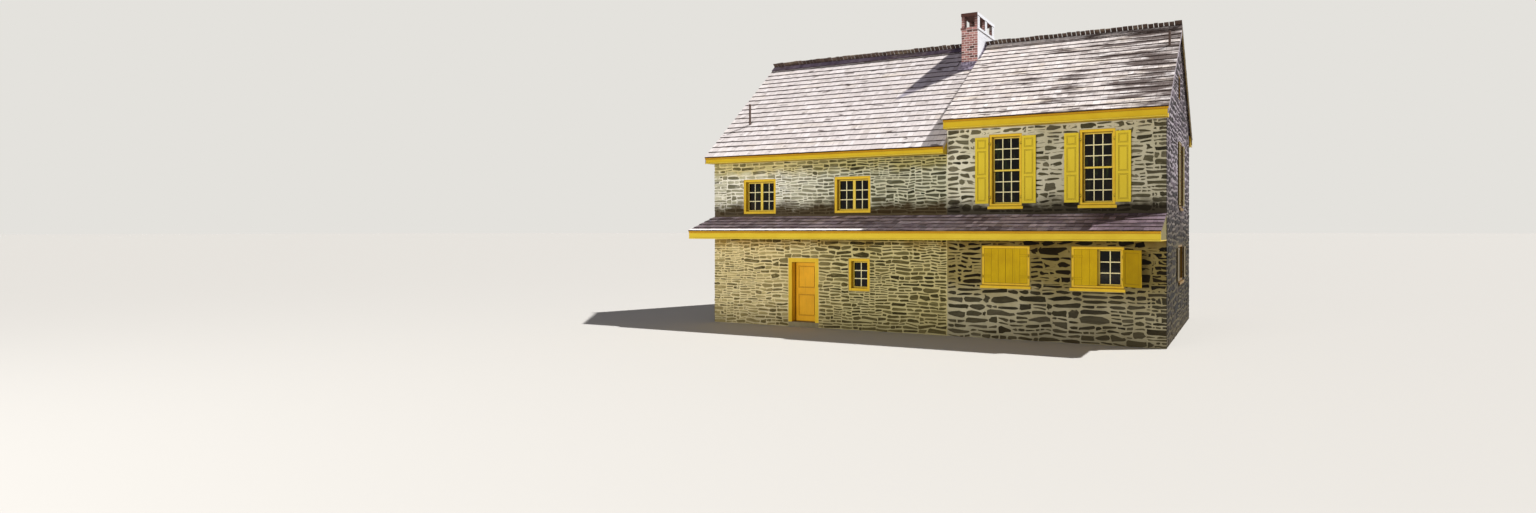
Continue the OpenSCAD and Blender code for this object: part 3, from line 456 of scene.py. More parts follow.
# %% Old window glass
GLASS, tree, place = start_finish("Blown soda lime glass over a dark room")
# Green and brown clouds are painted reflections of trees
dark_and_reflection = wash(tree, colour("#070503"), "#28320F", pattern(tree, place, 170, (1, 1, 3)), 0.55, 0.72, 1.0)
dark_and_reflection = wash(tree, dark_and_reflection, "#2A2014", pattern(tree, place, 300), 0.55, 0.70, 0.8)
waves = pattern(tree, place, 60, (1, 1, 1), 1.0)
end_finish(tree, dark_and_reflection, 0.05, waves, 0.06, 0.004, IOR=1.52, Specular_IOR_Level=0.15)

# %% [markdown]
# Inside are pine floor boards, oiled and worn. The door sill is a sawn stone slab, smoother and
# paler than the walls.

# %% Floor boards and sawn stone
FLOOR_BOARDS, tree, place = start_finish("Oiled pine floor boards")
planks = add(tree, "TexBrick", {
    "Vector": place, "Color1": colour("#8C6A45"), "Color2": colour("#A07C54"), "Mortar": colour("#3A2A1C"),
    "Scale": 1.0, "Mortar Size": 0.004, "Brick Width": 3.2, "Row Height": 0.18}, "Color")
wood = pattern(tree, place, 11, (25, 1, 1))
end_finish(tree, wash(tree, planks, "#6B4D31", wood, 0.4, 0.75, 0.45), 0.55, wood, 0.2, 0.002)

SLAB, tree, place = start_finish("Sawn schist slab")
speck = pattern(tree, place, 20)
stone = wash(tree, colour("#8E8466"), "#736A50", pattern(tree, place, 400), 0.35, 0.65, 1.0)
end_finish(tree, wash(tree, stone, "#57503C", speck, 0.5, 0.8, 0.5), 0.8, speck, 0.4, 0.004)

# %% [markdown]
# The CAD nodes that already have the right shape keep it and only get these finishes. The walls become
# the mortar that the stones are bedded in.

# %% Finishes on the CAD nodes
NODE_FINISHES = {
    MORTAR_LEFT: ("front_wall_left", "front_wall_over_door", "front_wall_middle", "rear_wall_left",
                  "left_gable_wall"),
    MORTAR_RIGHT: ("front_wall_right", "rear_wall_right", "roof_step_wall"),
    MORTAR_GABLE_SHADED: ("right_gable_wall",),
    FLOOR_BOARDS: ("ground_floor", "upper_floor", "attic_floors"),
    SLAB: ("door_sill",), CAP: ("chimney_slab",), BRICK_MORTAR: ("chimney_shaft", "chimney_piers"),
    LEAD: ("chimney_flashing",), PIPE: ("vent_pipes",), IRON: ("hinge_pins", "door_knob"),
    TRIM_ACROSS: ("boxed_eaves", "pent_soffit"), PENT_TRIM: ("pent_eave_board",),
    TRIM_WORN: ("barge_boards",), END_BOARD_SHADED: ("pent_end_boards",),
    TRIM_UPRIGHT: ("window_frames", "window_sills", "door_frame"),
    SASH_PAINT: ("window_sashes",), GLASS: ("window_glass",), DOOR_PAINT: ("front_door",),
    SHUTTER: [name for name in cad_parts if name.startswith("tall_shutter")],
    OLD_SHUTTER: ("low_shutter_1_left", "low_shutter_1_right", "low_shutter_2_left"),
    SHADED_SHUTTER: ("low_shutter_2_right",),
    GABLE_TALL_SHADED: ("gable_tall_shutter_left", "gable_tall_shutter_right"),
    GABLE_LOW_SHADED: ("gable_low_shutter_left", "gable_low_shutter_right"),
}
for finish, names in NODE_FINISHES.items():
    for name in names:
        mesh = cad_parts[name].data
        mesh.materials.clear()
        mesh.materials.append(finish)
print("Finished CAD nodes:", sum(len(names) for names in NODE_FINISHES.values()), "of", len(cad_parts))

# %% [markdown]
# Every new piece is finished in the same way. Its bmesh is carried to its place, its faces are turned
# outwards, and it is told which body it rides on and which CAD nodes it stands for. Most pieces start
# as blocks, so a second helper makes one between two corners.

# %% Making a piece
def add_object(name, bm, materials):
    mesh = bpy.data.meshes.new(name)
    bm.to_mesh(mesh)
    bm.free()
    for material in materials:
        mesh.materials.append(material)
    made = bpy.data.objects.new(name, mesh)
    bpy.context.scene.collection.objects.link(made)
    return made


def make_piece(name, bm, place, materials, replaced=()):
    bmesh.ops.transform(bm, matrix=place, verts=bm.verts)
    bmesh.ops.recalc_face_normals(bm, faces=bm.faces)
    piece = add_object(name, bm, materials)
    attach(piece, "house")
    if replaced:
        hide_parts(*replaced)
    print(name, "has", sum(len(face.vertices) - 2 for face in piece.data.polygons), "triangles")


def block(bm, low, high, turn=Matrix.Identity(4)):
    low, high = Vector(low), Vector(high)
    matrix = Matrix.Translation((low + high) / 2) @ turn @ Matrix.Diagonal((*(high - low), 1.0))
    return bmesh.ops.create_cube(bm, size=1.0, matrix=matrix)["verts"]


def soften(bm, width):
    sharp = [edge for edge in bm.edges if edge.calc_face_angle(0.0) > 0.6]
    bmesh.ops.bevel(bm, geom=sharp, offset=width, offset_type="OFFSET", segments=1, profile=0.5,
                    affect="EDGES", material=-1, clamp_overlap=True)


# %% [markdown]
# Windows and the door are where the CAD has them. Each wall is worked on in its own axes: X along the
# wall as it is faced, -Y out of the wall, Z up. A matrix carries that to the house.

# %% Windows and walls
# Width, height, bottom and frame width of each kind
KINDS = {
    "casement": (1.250, 1.110, 3.390, 0.080), "small": (0.730, 0.990, 1.030, 0.085),
    "tall": (0.950, 2.005, 3.530, 0.070), "low": (1.390, 1.105, 1.330, 0.070),
    "attic": (0.620, 0.720, 6.760, 0.070),
}
SILL, PENT_COVERS_TO = 0.075, 3.345
COLUMNS, CASEMENTS, GABLE_COLUMN = (LEFT + 1.745, LEFT + 4.280), (1.785, 5.190), 3.900
WINDOWS = [("casement", "front", x) for x in CASEMENTS] + [("small", "front", 5.425)]
WINDOWS += [(kind, "front", x) for kind in ("tall", "low") for x in COLUMNS]
WINDOWS += [("tall", "right", GABLE_COLUMN), ("low", "right", GABLE_COLUMN), ("attic", "right", MID)]
WINDOWS += [(kind, "rear", x) for kind in ("casement", "small") for x in CASEMENTS]
WINDOWS += [(kind, "rear", x) for kind in ("tall", "low") for x in COLUMNS]
WINDOWS += [(kind, "left", MID) for kind in ("casement", "small", "attic")]
FACING_LEFT = Matrix.Rotation(-math.pi / 2, 4, "Z")
WALLS = {
    "front": HOUSE,
    "right": HOUSE @ Matrix.Translation((TOTAL, 0, 0)) @ Matrix.Rotation(math.pi / 2, 4, "Z"),
    "rear": HOUSE @ Matrix.Translation((TOTAL, DEPTH, 0)) @ Matrix.Rotation(math.pi, 4, "Z"),
    "left": HOUSE @ Matrix.Translation((0, DEPTH, 0)) @ FACING_LEFT,
    "step": HOUSE @ Matrix.Translation((LEFT, DEPTH, 0)) @ FACING_LEFT,
}


def along_wall(wall, value):
    return {"front": value, "right": value, "rear": TOTAL - value, "left": DEPTH - value}[wall]


def windows_of(wall):
    return [(kind, along_wall(wall, value)) for kind, its_wall, value in WINDOWS if its_wall == wall]


def holes_of(wall):
    holes = []
    for kind, middle in windows_of(wall):
        width, height, low, _ = KINDS[kind]
        drop = SILL if kind in ("tall", "low") else 0.0
        holes.append((middle - width / 2, middle + width / 2, low - drop, low + height))
    if wall == "front":
        # The door, and the band that the pent roof hides
        holes += [(2.890, 4.000, FOOT, 2.000), (0.0, TOTAL, PENT_SOFFIT, PENT_COVERS_TO)]
    return holes


# %% [markdown]
# Rubble is laid from the lowest place up. A mason looks along the top of the unfinished wall, sets the
# next stone at one end of its lowest dip, and likes a stone that comes level with its neighbour, because
# the next one can then lie across both. This function does the same with rectangles. Openings and
# corner stones are closed to it. Stones run smaller and larger in patches, as they came from the heap.

# %% Choosing the stones of a wall
# Lengths under TOUCH count as none, rests under SLIVER are left to the mortar, and no rest under
# SMALLEST gets a stone of its own
TOUCH, SAME_LEVEL, SLIVER, SMALLEST = 0.001, 0.0015, 0.02, 0.05


def lay_up(low, high, bottom, top, closed, style, seed, dice):
    stones, edge = [], [(low, high, bottom)]
    reach = max(style["heights"]) * 1.6
    while min(step[2] for step in edge) < top - SLIVER:
        here = min(range(len(edge)), key=lambda number: edge[number][2])
        a, b, z = edge[here]
        left = edge[here - 1][2] if here else top
        right = edge[here + 1][2] if here + 1 < len(edge) else top
        near = [c for c in closed
                if c[0] < b - TOUCH and c[1] > a + TOUCH and c[2] - reach < z < c[3] - TOUCH]
        cuts = [x for c in near for x in c[:2] if a + TOUCH < x < b - TOUCH]
        met = [c[3] for c in near if c[2] < z + SLIVER]
        if cuts:
            edge[here:here + 1] = [(a, cuts[0], z), (cuts[0], b, z)]
            continue
        if met:
            parts = [(a, b, max(met))]
        elif b - a < SMALLEST:
            parts = [(a, b, min([side for side in (left, right) if side > z + TOUCH] + [top]))]
        else:
            size = 1 + style["patches"] * noise.noise(Vector((a * 0.6, z * 0.8, seed)))
            height = dice.choice(style["heights"]) * dice.uniform(0.85, 1.15) * size
            length = min(max(height * dice.uniform(*style["lengths"]), style["least"]), style["longest"])
            if b - a - length < style["least"]:
                length = b - a
            at_left = dice.random() < 0.5
            beside = (left, right) if length == b - a else (left if at_left else right,)
            level = [side - z for side in beside if 0.6 * height < side - z < 1.5 * height and
                     dice.random() < style["level"]]
            height = min(level, key=lambda rise: abs(rise - height)) if level else height
            limit = min([top - z] + [c[2] - z for c in near])
            height = limit if limit - height < SMALLEST else height
            start = a if at_left else b - length
            stones.append((start, start + length, z, z + height))
            parts = [(a, start, z), (start, start + length, z + height), (start + length, b, z)]
        edge[here:here + 1] = [part for part in parts if part[1] - part[0] > TOUCH / 2]
        for number in range(len(edge) - 1, 0, -1):
            if abs(edge[number][2] - edge[number - 1][2]) < SAME_LEVEL:
                edge[number - 1:number + 1] = [(edge[number - 1][0], edge[number][1], edge[number - 1][2])]
    return stones


# %% [markdown]
# A stone starts as a circle of a few points, filled with one face. Its points are pushed out towards a
# square, more for a blocky stone and less for a lens, one end is made thicker than the other, all are
# shaken a little, and the outline is stretched to the stone's length and height. No course is straight:
# a slow noise pushes the stones of a wall about together, so that joints wander and keep their width.
# Then all outlines are thickened into the wall, and each face gets a worn edge.

# %% Shaping stones
THIN = {"heights": (0.082, 0.104, 0.132), "lengths": (1.6, 4.8), "least": 0.10, "longest": 0.60,
        "patches": 0.6, "joint": 0.031, "points": 10, "square": (0.18, 0.65), "ragged": 0.22, "tilt": 1.6,
        "wedge": 0.30, "level": 0.80, "drift": 0.050, "wander": 2.6, "worn": 0.006}
COARSE = {"heights": (0.095, 0.140, 0.195), "lengths": (1.5, 4.4), "least": 0.13, "longest": 0.90,
          "patches": 0.6, "joint": 0.039, "points": 12, "square": (0.25, 0.90), "ragged": 0.20,
          "tilt": 2.8, "wedge": 0.45, "level": 0.90, "drift": 0.060, "wander": 1.8, "worn": 0.009}
LARGE = dict(COARSE, heights=(0.11, 0.16, 0.22), lengths=(1.7, 4.0), longest=1.05, joint=0.046)
# An open leaf's straps lie 4 mm off the wall, and a worn face stands 4 mm out of its edge
BEDDED, PROUD, PROUD_AT_SHUTTERS, ROUNDED = 0.030, (0.002, 0.014), (-0.0025, -0.0015), 0.004
# Smaller stones than this are left to the mortar, and a stone this far from an opening moves freely
NARROWEST, LOWEST, FREE = 0.03, 0.014, 0.2


def outline_stone(bm, cell, style, proud, dice):
    low, high, bottom, top = cell
    joint = style["joint"]
    width = high - low - min(joint * dice.uniform(0.3, 0.9), (high - low) * 0.5)
    height = top - bottom - min(joint * dice.uniform(0.6, 1.3), (top - bottom) * 0.5)
    if width < NARROWEST or height < LOWEST:
        return
    power, turn = dice.uniform(*style["square"]), math.radians(dice.gauss(0, style["tilt"]))
    start = dice.uniform(0, math.pi)
    wedge = dice.uniform(-style["wedge"], style["wedge"])
    ring = bmesh.ops.create_circle(bm, cap_ends=True, radius=1.0, segments=style["points"])["verts"]
    for vert in ring:
        angle = math.atan2(vert.co.y, vert.co.x) + start
        x, z = [math.copysign(abs(c) ** power, c) for c in (math.cos(angle), math.sin(angle))]
        x, z = x * width / 2, z * (1 + wedge * x) / (1 + abs(wedge) * 0.6) * height / 2
        x += dice.uniform(-1, 0.6) * math.copysign(style["ragged"] * height, x)
        z += dice.uniform(-1, 0.6) * math.copysign(style["ragged"] * height * 0.6, z)
        x, z = x * math.cos(turn) - z * math.sin(turn), x * math.sin(turn) + z * math.cos(turn)
        vert.co = ((low + high) / 2 + x, -proud, (bottom + top) / 2 + z)


def push_about(bm, style, seed, low, high, top, closed):
    # Nothing is pushed at an opening or at a corner stone
    for vert in bm.verts:
        x, z = vert.co.x, vert.co.z
        away = [max(a - x, x - b, c - z, z - d) for a, b, c, d in closed]
        room = min([x - low, high - x, top - z] + away)
        push = noise.noise_vector(Vector((x, z * 1.3, seed)) * style["wander"]) * style["drift"]
        vert.co += Vector((push.x, 0, push.z)) * min(max(room / FREE, 0.0), 1.0)


def thicken_stones(bm, style, dice):
    faces = bm.faces[:]
    bmesh.ops.recalc_face_normals(bm, faces=faces)
    bmesh.ops.reverse_faces(bm, faces=[face for face in faces if face.normal.y > 0])
    bmesh.ops.solidify(bm, geom=faces, thickness=BEDDED)
    fronts = [face for face in bm.faces if face.normal.y < -0.9]
    bmesh.ops.inset_individual(bm, faces=fronts, thickness=style["worn"], depth=ROUNDED, use_even_offset=False)
    for vert in {vert for face in fronts for vert in face.verts}:
        vert.co.y += dice.uniform(-0.001, 0.003)
    for vert in bm.verts:
        vert.co.z = max(vert.co.z, FOOT + 0.001)


# %% [markdown]
# Corner stones bind two walls. Each is long on one wall and short on the other, and the next one is
# turned the other way. They start as blocks that are cut up once, so that their edges can wander a
# little, and these edges are worn.

# %% Corner stones
LONG, SHORT = (0.24, 0.52), (0.13, 0.30)
# Heights between which low leaves and the pent roof lie against the corner, and what is a far end
LEAVES_FROM, PENT_FROM, PENT_TO, FAR = 1.25, 2.58, 3.36, 0.1


def choose_corner(top, style, dice):
    # Bottom, top, and the lengths along the front or rear wall and along the gable of each stone
    stones, z, turned = [], FOOT, False
    while z < top - 0.001:
        height = dice.choice(style["heights"]) * dice.uniform(0.7, 1.05)
        height = top - z if top - z - height < 0.06 else height
        lengths = [dice.uniform(*LONG), dice.uniform(*SHORT)]
        stones.append((z, z + height, *(lengths[::-1] if turned else lengths)))
        z, turned = z + height, not turned
    return stones


def corner_stones(stones, style, ways, hidden, dice):
    bm = bmesh.new()
    across, back = ways
    for low, high, along, behind in stones:
        gap, proud = style["joint"] * dice.uniform(0.3, 0.55), dice.uniform(0.003, 0.012)
        # Stones behind the pent roof don't stand out of the wall, and those behind a low leaf hardly do
        out_y = proud
        if hidden and low < PENT_TO and high > LEAVES_FROM:
            out_y = -0.002 if high > PENT_FROM else 0.001
        x0, x1 = sorted((-across * proud, across * (along - gap - dice.uniform(0, 0.03))))
        y0, y1 = sorted((-back * out_y, back * (behind - gap)))
        block(bm, (x0, y0, low + gap), (x1, y1, high - gap))
    long_edges = [edge for edge in bm.edges if edge.calc_length() > FAR]
    bmesh.ops.subdivide_edges(bm, edges=long_edges, cuts=2, use_grid_fill=True)
    # The corner itself stays true, the far ends do not
    for vert in bm.verts:
        far = abs(vert.co.x) > FAR or abs(vert.co.y) > FAR
        ragged = style["ragged"] * (0.10 if far else 0.03)
        vert.co.z += dice.uniform(-ragged, ragged)
        for axis in (0, 1):
            vert.co[axis] += dice.uniform(-0.020, 0.020) if abs(vert.co[axis]) > FAR else 0.0
    soften(bm, style["worn"])
    for vert in bm.verts:
        vert.co += Vector([dice.uniform(-0.002, 0.002) for _ in range(3)])
        vert.co.z = max(vert.co.z, FOOT + 0.001)
    return bm


# %% [markdown]
# Both roofs and the pent roof carry the same shingles. A slope is worked out as in the CAD: the eave
# height is that of the boards under the shingles at the drip edge, and the ridge is shared.

# %% Roof slopes
SHINGLE, ROOF_THICK, OVERHANG, DRIP = 0.035, 0.120, 0.300, 0.035


def rise_of(eave):
    angle = math.atan((RIDGE - eave) / (MID + OVERHANG))
    return (RIDGE - eave - SHINGLE / math.cos(angle)) / (MID + OVERHANG)


RISE_LEFT, RISE_RIGHT = rise_of(LEFT_EAVE), rise_of(RIGHT_EAVE)
print("Slopes:", [round(math.degrees(math.atan(rise)), 1) for rise in (RISE_LEFT, RISE_RIGHT)])


def under_roof(rise):
    # Stones end 4 mm below the boarding
    return ROOF_THICK / math.cos(math.atan(rise)) + 0.004


def cut_along_roof(bm, rise, drop, sides=(-1, 1), keep_below=True):
    for side in sides:
        way = 1 if keep_below else -1
        cut = bmesh.ops.bisect_plane(bm, geom=bm.verts[:] + bm.edges[:] + bm.faces[:], dist=0.0001,
                                     plane_co=(MID, 0, RIDGE - drop), plane_no=(way * side * rise, 0, way),
                                     clear_outer=True)
        rim = [item for item in cut["geom_cut"] if isinstance(item, bmesh.types.BMEdge)]
        bmesh.ops.holes_fill(bm, edges=rim, sides=0)


# %% [markdown]
# The walls are laid: thin stone on the left section, rubble on the right one, and on the right gable
# the same rubble, purple grey and painted dark as the shade of trees. A long wall stops under the eave
# box. The stones of a gable run past the roof line and are then cut along both slopes. Behind a
# shutter that stands open they are laid flush, so that it can lie flat on the wall.

# %% Laying the walls
LEFT_TOP, RIGHT_TOP = 5.040, 5.725
CORNERS = {"front_left": (0, 0, LEFT_TOP, THIN), "rear_left": (0, DEPTH, LEFT_TOP, THIN),
           "front_right": (TOTAL, 0, RIGHT_TOP, COARSE), "rear_right": (TOTAL, DEPTH, RIGHT_TOP, COARSE)}
CHOSEN = {corner: choose_corner(top, style, random.Random(corner))
          for corner, (x, y, top, style) in CORNERS.items()}


def shutter_rests(wall):
    # A stone beside a leaf may be pushed 6 cm its way
    rests, margin = [], 0.06
    for kind, middle in windows_of(wall):
        width, height, low, _ = KINDS[kind]
        if kind in ("tall", "low") and wall in ("front", "right"):
            rests.append((middle - width - margin, middle + width + margin,
                          low - margin, low + height + margin))
    return rests


def corner_room(corner, which):
    return [(stone[0], stone[1], stone[2 + which]) for stone in CHOSEN[corner]] if corner else []


def lay_stones(wall, low, high, bottom, top, style, corners, seed):
    # The corners at the low and the high end are given by name, with 0 for a front or rear wall
    dice = random.Random(seed)
    holes = holes_of(wall) if wall != "step" else []
    rests = shutter_rests(wall) if wall != "step" else []
    starts, ends = [corner_room(corner, 1 if wall in ("left", "right") else 0) for corner in corners]
    closed = holes + [(low, low + length, z0, z1) for z0, z1, length in starts]
    closed += [(high - length, high, z0, z1) for z0, z1, length in ends]
    bm = bmesh.new()
    for cell in lay_up(low, high, bottom, top, closed, style, seed, dice):
        behind = any(a < cell[1] and cell[0] < b and c < cell[3] and cell[2] < d for a, b, c, d in rests)
        outline_stone(bm, cell, style, dice.uniform(*(PROUD_AT_SHUTTERS if behind else PROUD)), dice)
    push_about(bm, style, seed, low, high, top, closed)
    thicken_stones(bm, style, dice)
    return bm


# %% Thin stone and rubble on the four sides
SEAM_GAP = 0.010
LAID = (
    ("front_left", "front", 0, LEFT - SEAM_GAP, LEFT_TOP, THIN, THIN_STONE, ("front_left", None), 21),
    ("rear_left", "rear", TOTAL - LEFT + SEAM_GAP, TOTAL, LEFT_TOP, THIN, THIN_STONE,
     (None, "rear_left"), 22),
    ("left_gable", "left", 0, DEPTH, RIDGE, THIN, THIN_STONE, ("rear_left", "front_left"), 23),
    ("front_right", "front", LEFT + SEAM_GAP, TOTAL, RIGHT_TOP, COARSE, RUBBLE, (None, "front_right"), 31),
    ("rear_right", "rear", 0, TOTAL - LEFT - SEAM_GAP, RIGHT_TOP, COARSE, RUBBLE,
     ("rear_right", None), 32),
    ("right_gable", "right", 0, DEPTH, RIDGE, LARGE, GABLE_RUBBLE_SHADED, ("front_right", "rear_right"), 33))
for name, wall, low, high, top, style, finish, corners, seed in LAID:
    bm = lay_stones(wall, low, high, FOOT, top, style, corners, seed)
    if top == RIDGE:
        rise = RISE_LEFT if wall == "left" else RISE_RIGHT
        cut_along_roof(bm, rise, under_roof(rise))
    slot = "thin_stone" if style is THIN else "rubble_stone"
    make_piece(name + "_stones", bm, WALLS[wall], [finish])

# %% Rubble of the step between the roofs
STEP_FOOT = 5.300
for name, side, low, high, seed in (("rear", -1, 0, MID, 41), ("front", 1, MID, DEPTH, 42)):
    bm = lay_stones("step", low, high, STEP_FOOT, RIDGE, COARSE, (None, None), seed)
    cut_along_roof(bm, RISE_RIGHT, under_roof(RISE_RIGHT), (side,))
    cut_along_roof(bm, RISE_LEFT, -0.004, (side,), keep_below=False)
    make_piece("step_stones_" + name, bm, WALLS["step"], [RUBBLE])

# %% Corner stones of the four corners
for corner, (x, y, _, style) in CORNERS.items():
    ways = (1 if x == 0 else -1, 1 if y == 0 else -1)
    bm = corner_stones(CHOSEN[corner], style, ways, y == 0, random.Random(corner))
    finish, slot = (THIN_STONE, "thin_stone") if style is THIN else (RUBBLE, "rubble_stone")
    make_piece(corner + "_corner_stones", bm, HOUSE @ Matrix.Translation((x, y, 0)), [finish])

# %% [markdown]
# Shingles are laid from the eave up in courses about 27 cm apart. Each is a thin wedge: thick at the
# butt, where it shows, and thin at the head, which the next course covers. Widths, butts and
# thicknesses differ a little, as they do when shingles are split by hand. A block with its upper end
# pressed down is enough for each. Under them lies the boarding, with the CAD's section.

# %% Shingle courses
EXPOSURE, LAP = 0.266, 0.080


def lay_shingle(bm, left, right, low, high, thick, dice):
    turn = Matrix.Rotation(math.radians(dice.gauss(0, 0.35)), 4, "Z")
    verts = block(bm, (left, low, 0.001), (right, high, thick), turn)
    for vert in verts:
        if vert.co.z > 0.0011 and vert.co.y > (low + high) / 2:
            vert.co.z = 0.004
    for face in {face for vert in verts for face in vert.link_faces}:
        if face.calc_center_median().y < low + 0.02:
            face.material_index = 1


def lay_courses(bm, x0, x1, length, dice, skip=None):
    courses = round(length / EXPOSURE)
    for low, high in [(length * n / courses, length * (n + 1) / courses) for n in range(courses)]:
        place = x0
        while place < x1 - 0.001:
            width = dice.uniform(0.10, 0.24)
            if x1 - place - width < 0.07:
                width = x1 - place
            butt = max(low + dice.uniform(-0.007, 0.007), 0.0)
            if not (skip and skip(place, place + width, butt)):
                lay_shingle(bm, place + 0.002, place + width - 0.002, butt, min(high + LAP, length),
                            SHINGLE * dice.uniform(0.84, 1.0), dice)
            place += width


def board_under(bm, x0, x1, section):
    face = bm.faces.new([bm.verts.new((x0, y, z)) for y, z in section])
    moved = bmesh.ops.extrude_face_region(bm, geom=[face])["geom"]
    verts = [item for item in moved if isinstance(item, bmesh.types.BMVert)]
    bmesh.ops.translate(bm, vec=(x1 - x0, 0, 0), verts=verts)


def cover_slope(node, x0, x1, boards_x, top_y, top_z, eave_y, rise, thick, finish, dice, skip=None):
    angle = math.atan(rise)
    layer, full = SHINGLE / math.cos(angle), thick / math.cos(angle)
    # The lowest butts lean out by the shingle's own thickness, so the courses start that much higher
    y0 = eave_y - DRIP + 0.002 + SHINGLE * math.sin(angle)
    bm = bmesh.new()
    lay_courses(bm, x0, x1, (top_y - y0) / math.cos(angle), dice, skip)
    place = Matrix.Translation((0, y0, top_z - rise * (top_y - y0) - layer)) @ Matrix.Rotation(angle, 4, "X")
    bmesh.ops.transform(bm, matrix=place, verts=bm.verts)
    board_under(bm, *boards_x, [(y, top_z - rise * (top_y - y) - drop) for y, drop in (
        (eave_y + 0.025, layer), (top_y, layer), (top_y, full), (eave_y + 0.025, full))])
    turned = HOUSE @ REAR_HALF if node.endswith("rear") else HOUSE
    make_piece(node + "_shingles", bm, turned, [finish, SHADED_BUTTS], [node])


# %% Main roofs
chimney_foot = (CHIMNEY_Y[0] + OVERHANG + DRIP) / math.cos(math.atan(RISE_LEFT))


def at_chimney(left, right, butt):
    return right > CHIMNEY_X[0] + 0.01 and left < CHIMNEY_X[1] - 0.01 and butt > chimney_foot - 0.02


for side in ("front", "rear"):
    cover_slope("roof_left_" + side, -0.157, LEFT, (-0.120, LEFT), MID, RIDGE, -OVERHANG, RISE_LEFT,
                ROOF_THICK, CEDAR, random.Random("left" + side), at_chimney)
    cover_slope("roof_right_" + side, LEFT - 0.060, TOTAL + 0.097, (LEFT, TOTAL + 0.060), MID, RIDGE,
                -OVERHANG, RISE_RIGHT, ROOF_THICK, CEDAR_RIGHT, random.Random("right" + side))

# %% [markdown]
# The pent roof is laid in the same way on a much flatter slope. Its shingles are painted dark, partly
# as damp from the drip of the main roof and partly as painted shade of the wall above it.

# %% Pent roof
PENT_THICK = 0.080
pent_layer = SHINGLE / math.cos(math.atan((PENT_WALL - PENT_EAVE) / PENT_OUT))
pent_rise = (PENT_WALL - PENT_EAVE - pent_layer) / PENT_OUT
cover_slope("pent_roof", -0.012, TOTAL + 0.012, (0, TOTAL), 0.0, PENT_WALL, -PENT_OUT, pent_rise, PENT_THICK,
            CEDAR_PENT_SHADED, random.Random("pent"))

# %% [markdown]
# The eave boards carry a crown moulding under the shingles and a bead at their lower edge, both run
# with a moulding plane. Each is its section, one face, drawn out along the board. The crown is painted
# darker orange as its shade and the bead paler as a painted highlight.

# %% Eave mouldings
CROWN_SECTION = [(0.002, 0.000), (-0.027, 0.000), (-0.027, -0.012), (-0.020, -0.018), (-0.014, -0.030),
                 (-0.011, -0.045), (-0.007, -0.048), (-0.007, -0.058), (0.002, -0.058)]
BEAD_SECTION = [(0.002, 0.002), (-0.006, 0.004), (-0.011, 0.012), (-0.011, 0.020), (-0.006, 0.028),
                (0.002, 0.030)]
# Both ends of each board, its face, its top, the slope above it and its lower edge
BOARDS = ((-0.145, LEFT, -OVERHANG, LEFT_EAVE, RISE_LEFT, LEFT_TOP),
          (LEFT, TOTAL + 0.085, -OVERHANG, RIGHT_EAVE, RISE_RIGHT, RIGHT_TOP),
          (0.0, TOTAL, -PENT_OUT, PENT_EAVE, pent_rise, PENT_SOFFIT))


def run_moulding(bm, x0, x1, face_y, top_z, slope, bottom_z):
    sections = [[(face_y + out, top_z - 0.002 + slope * out + down) for out, down in CROWN_SECTION],
                [(face_y + out, bottom_z + up) for out, up in BEAD_SECTION]]
    for number, section in enumerate(sections):
        before = set(bm.faces)
        board_under(bm, x0, x1, section)
        for face in set(bm.faces) - before:
            face.material_index = number


for side, place, boards in (("front", HOUSE, BOARDS), ("rear", HOUSE @ REAR_HALF, BOARDS[:2])):
    bm = bmesh.new()
    for board in boards:
        run_moulding(bm, *board)
    make_piece(side + "_eave_mouldings", bm, place, [CROWN_SHADED, BEAD_HIGHLIT])

# %% [markdown]
# A comb closes the ridge: a last short course on each side, of which the rear one stands up past the
# other and keeps the rain out of the joint. From the front its underside, painted dark as wet wood and
# as shade, shows as a row of dark teeth of uneven height. On the left roof the front course is painted
# lilac grey as shade.

# %% Ridge comb
bm = bmesh.new()
dice = random.Random("comb")
for x0, x1, rise in ((-0.157, CHIMNEY_X[0] - 0.012, RISE_LEFT), (8.250, TOTAL + 0.097, RISE_RIGHT)):
    lean = Matrix.Translation((0, MID, RIDGE)) @ Matrix.Rotation(math.atan(rise), 4, "X")
    for side, reach, gap in ((Matrix.Identity(4), (-0.012, 0.000), 0.002),
                             (REAR_HALF, (0.150, 0.180), 0.010)):
        place = x0
        while place < x1 - 0.001:
            width = dice.uniform(0.13, 0.18)
            if x1 - place - width < 0.08:
                width = x1 - place
            verts = block(bm, (place + gap, -0.235 + dice.uniform(-0.012, 0.004), -0.004),
                          (place + width - gap, dice.uniform(*reach), dice.uniform(0.018, 0.026)))
            bmesh.ops.transform(bm, matrix=side @ lean, verts=verts)
            for face in {face for vert in verts for face in vert.link_faces}:
                face.material_index = 1 if side is REAR_HALF else (2 if x0 < 0 else 0)
            place += width
make_piece("ridge_comb", bm, HOUSE, [CEDAR_RIGHT, CEDAR_RIDGE_SHADED, CEDAR_SHADE],
           ["ridge_cap"])

# %% [markdown]
# The chimney is laid in stretcher bond: bricks of 196 by 100 by 61 mm on 14 mm joints. The long sides
# and the short sides take the corners in turn, course by course. The piers between the smoke openings
# are one brick each, five courses high.
#
# A course is worked out side by side: each side has its two faces, and bricks of equal length fill it.

# %% Chimney bricks
BRICK_L, BRICK_W, COURSE, BED, BRICK_PROUD, CORBEL = 0.196, 0.100, 0.075, 0.014, 0.003, 0.025
COURSES, PIER_COURSES, PIER_COURSE = 17, 5, 0.074


def lay_brick(bm, low, high, dice):
    shift = Vector((dice.uniform(-0.0015, 0.0015), dice.uniform(-0.0015, 0.0015), 0))
    block(bm, Vector(low) + shift, Vector(high) + shift)


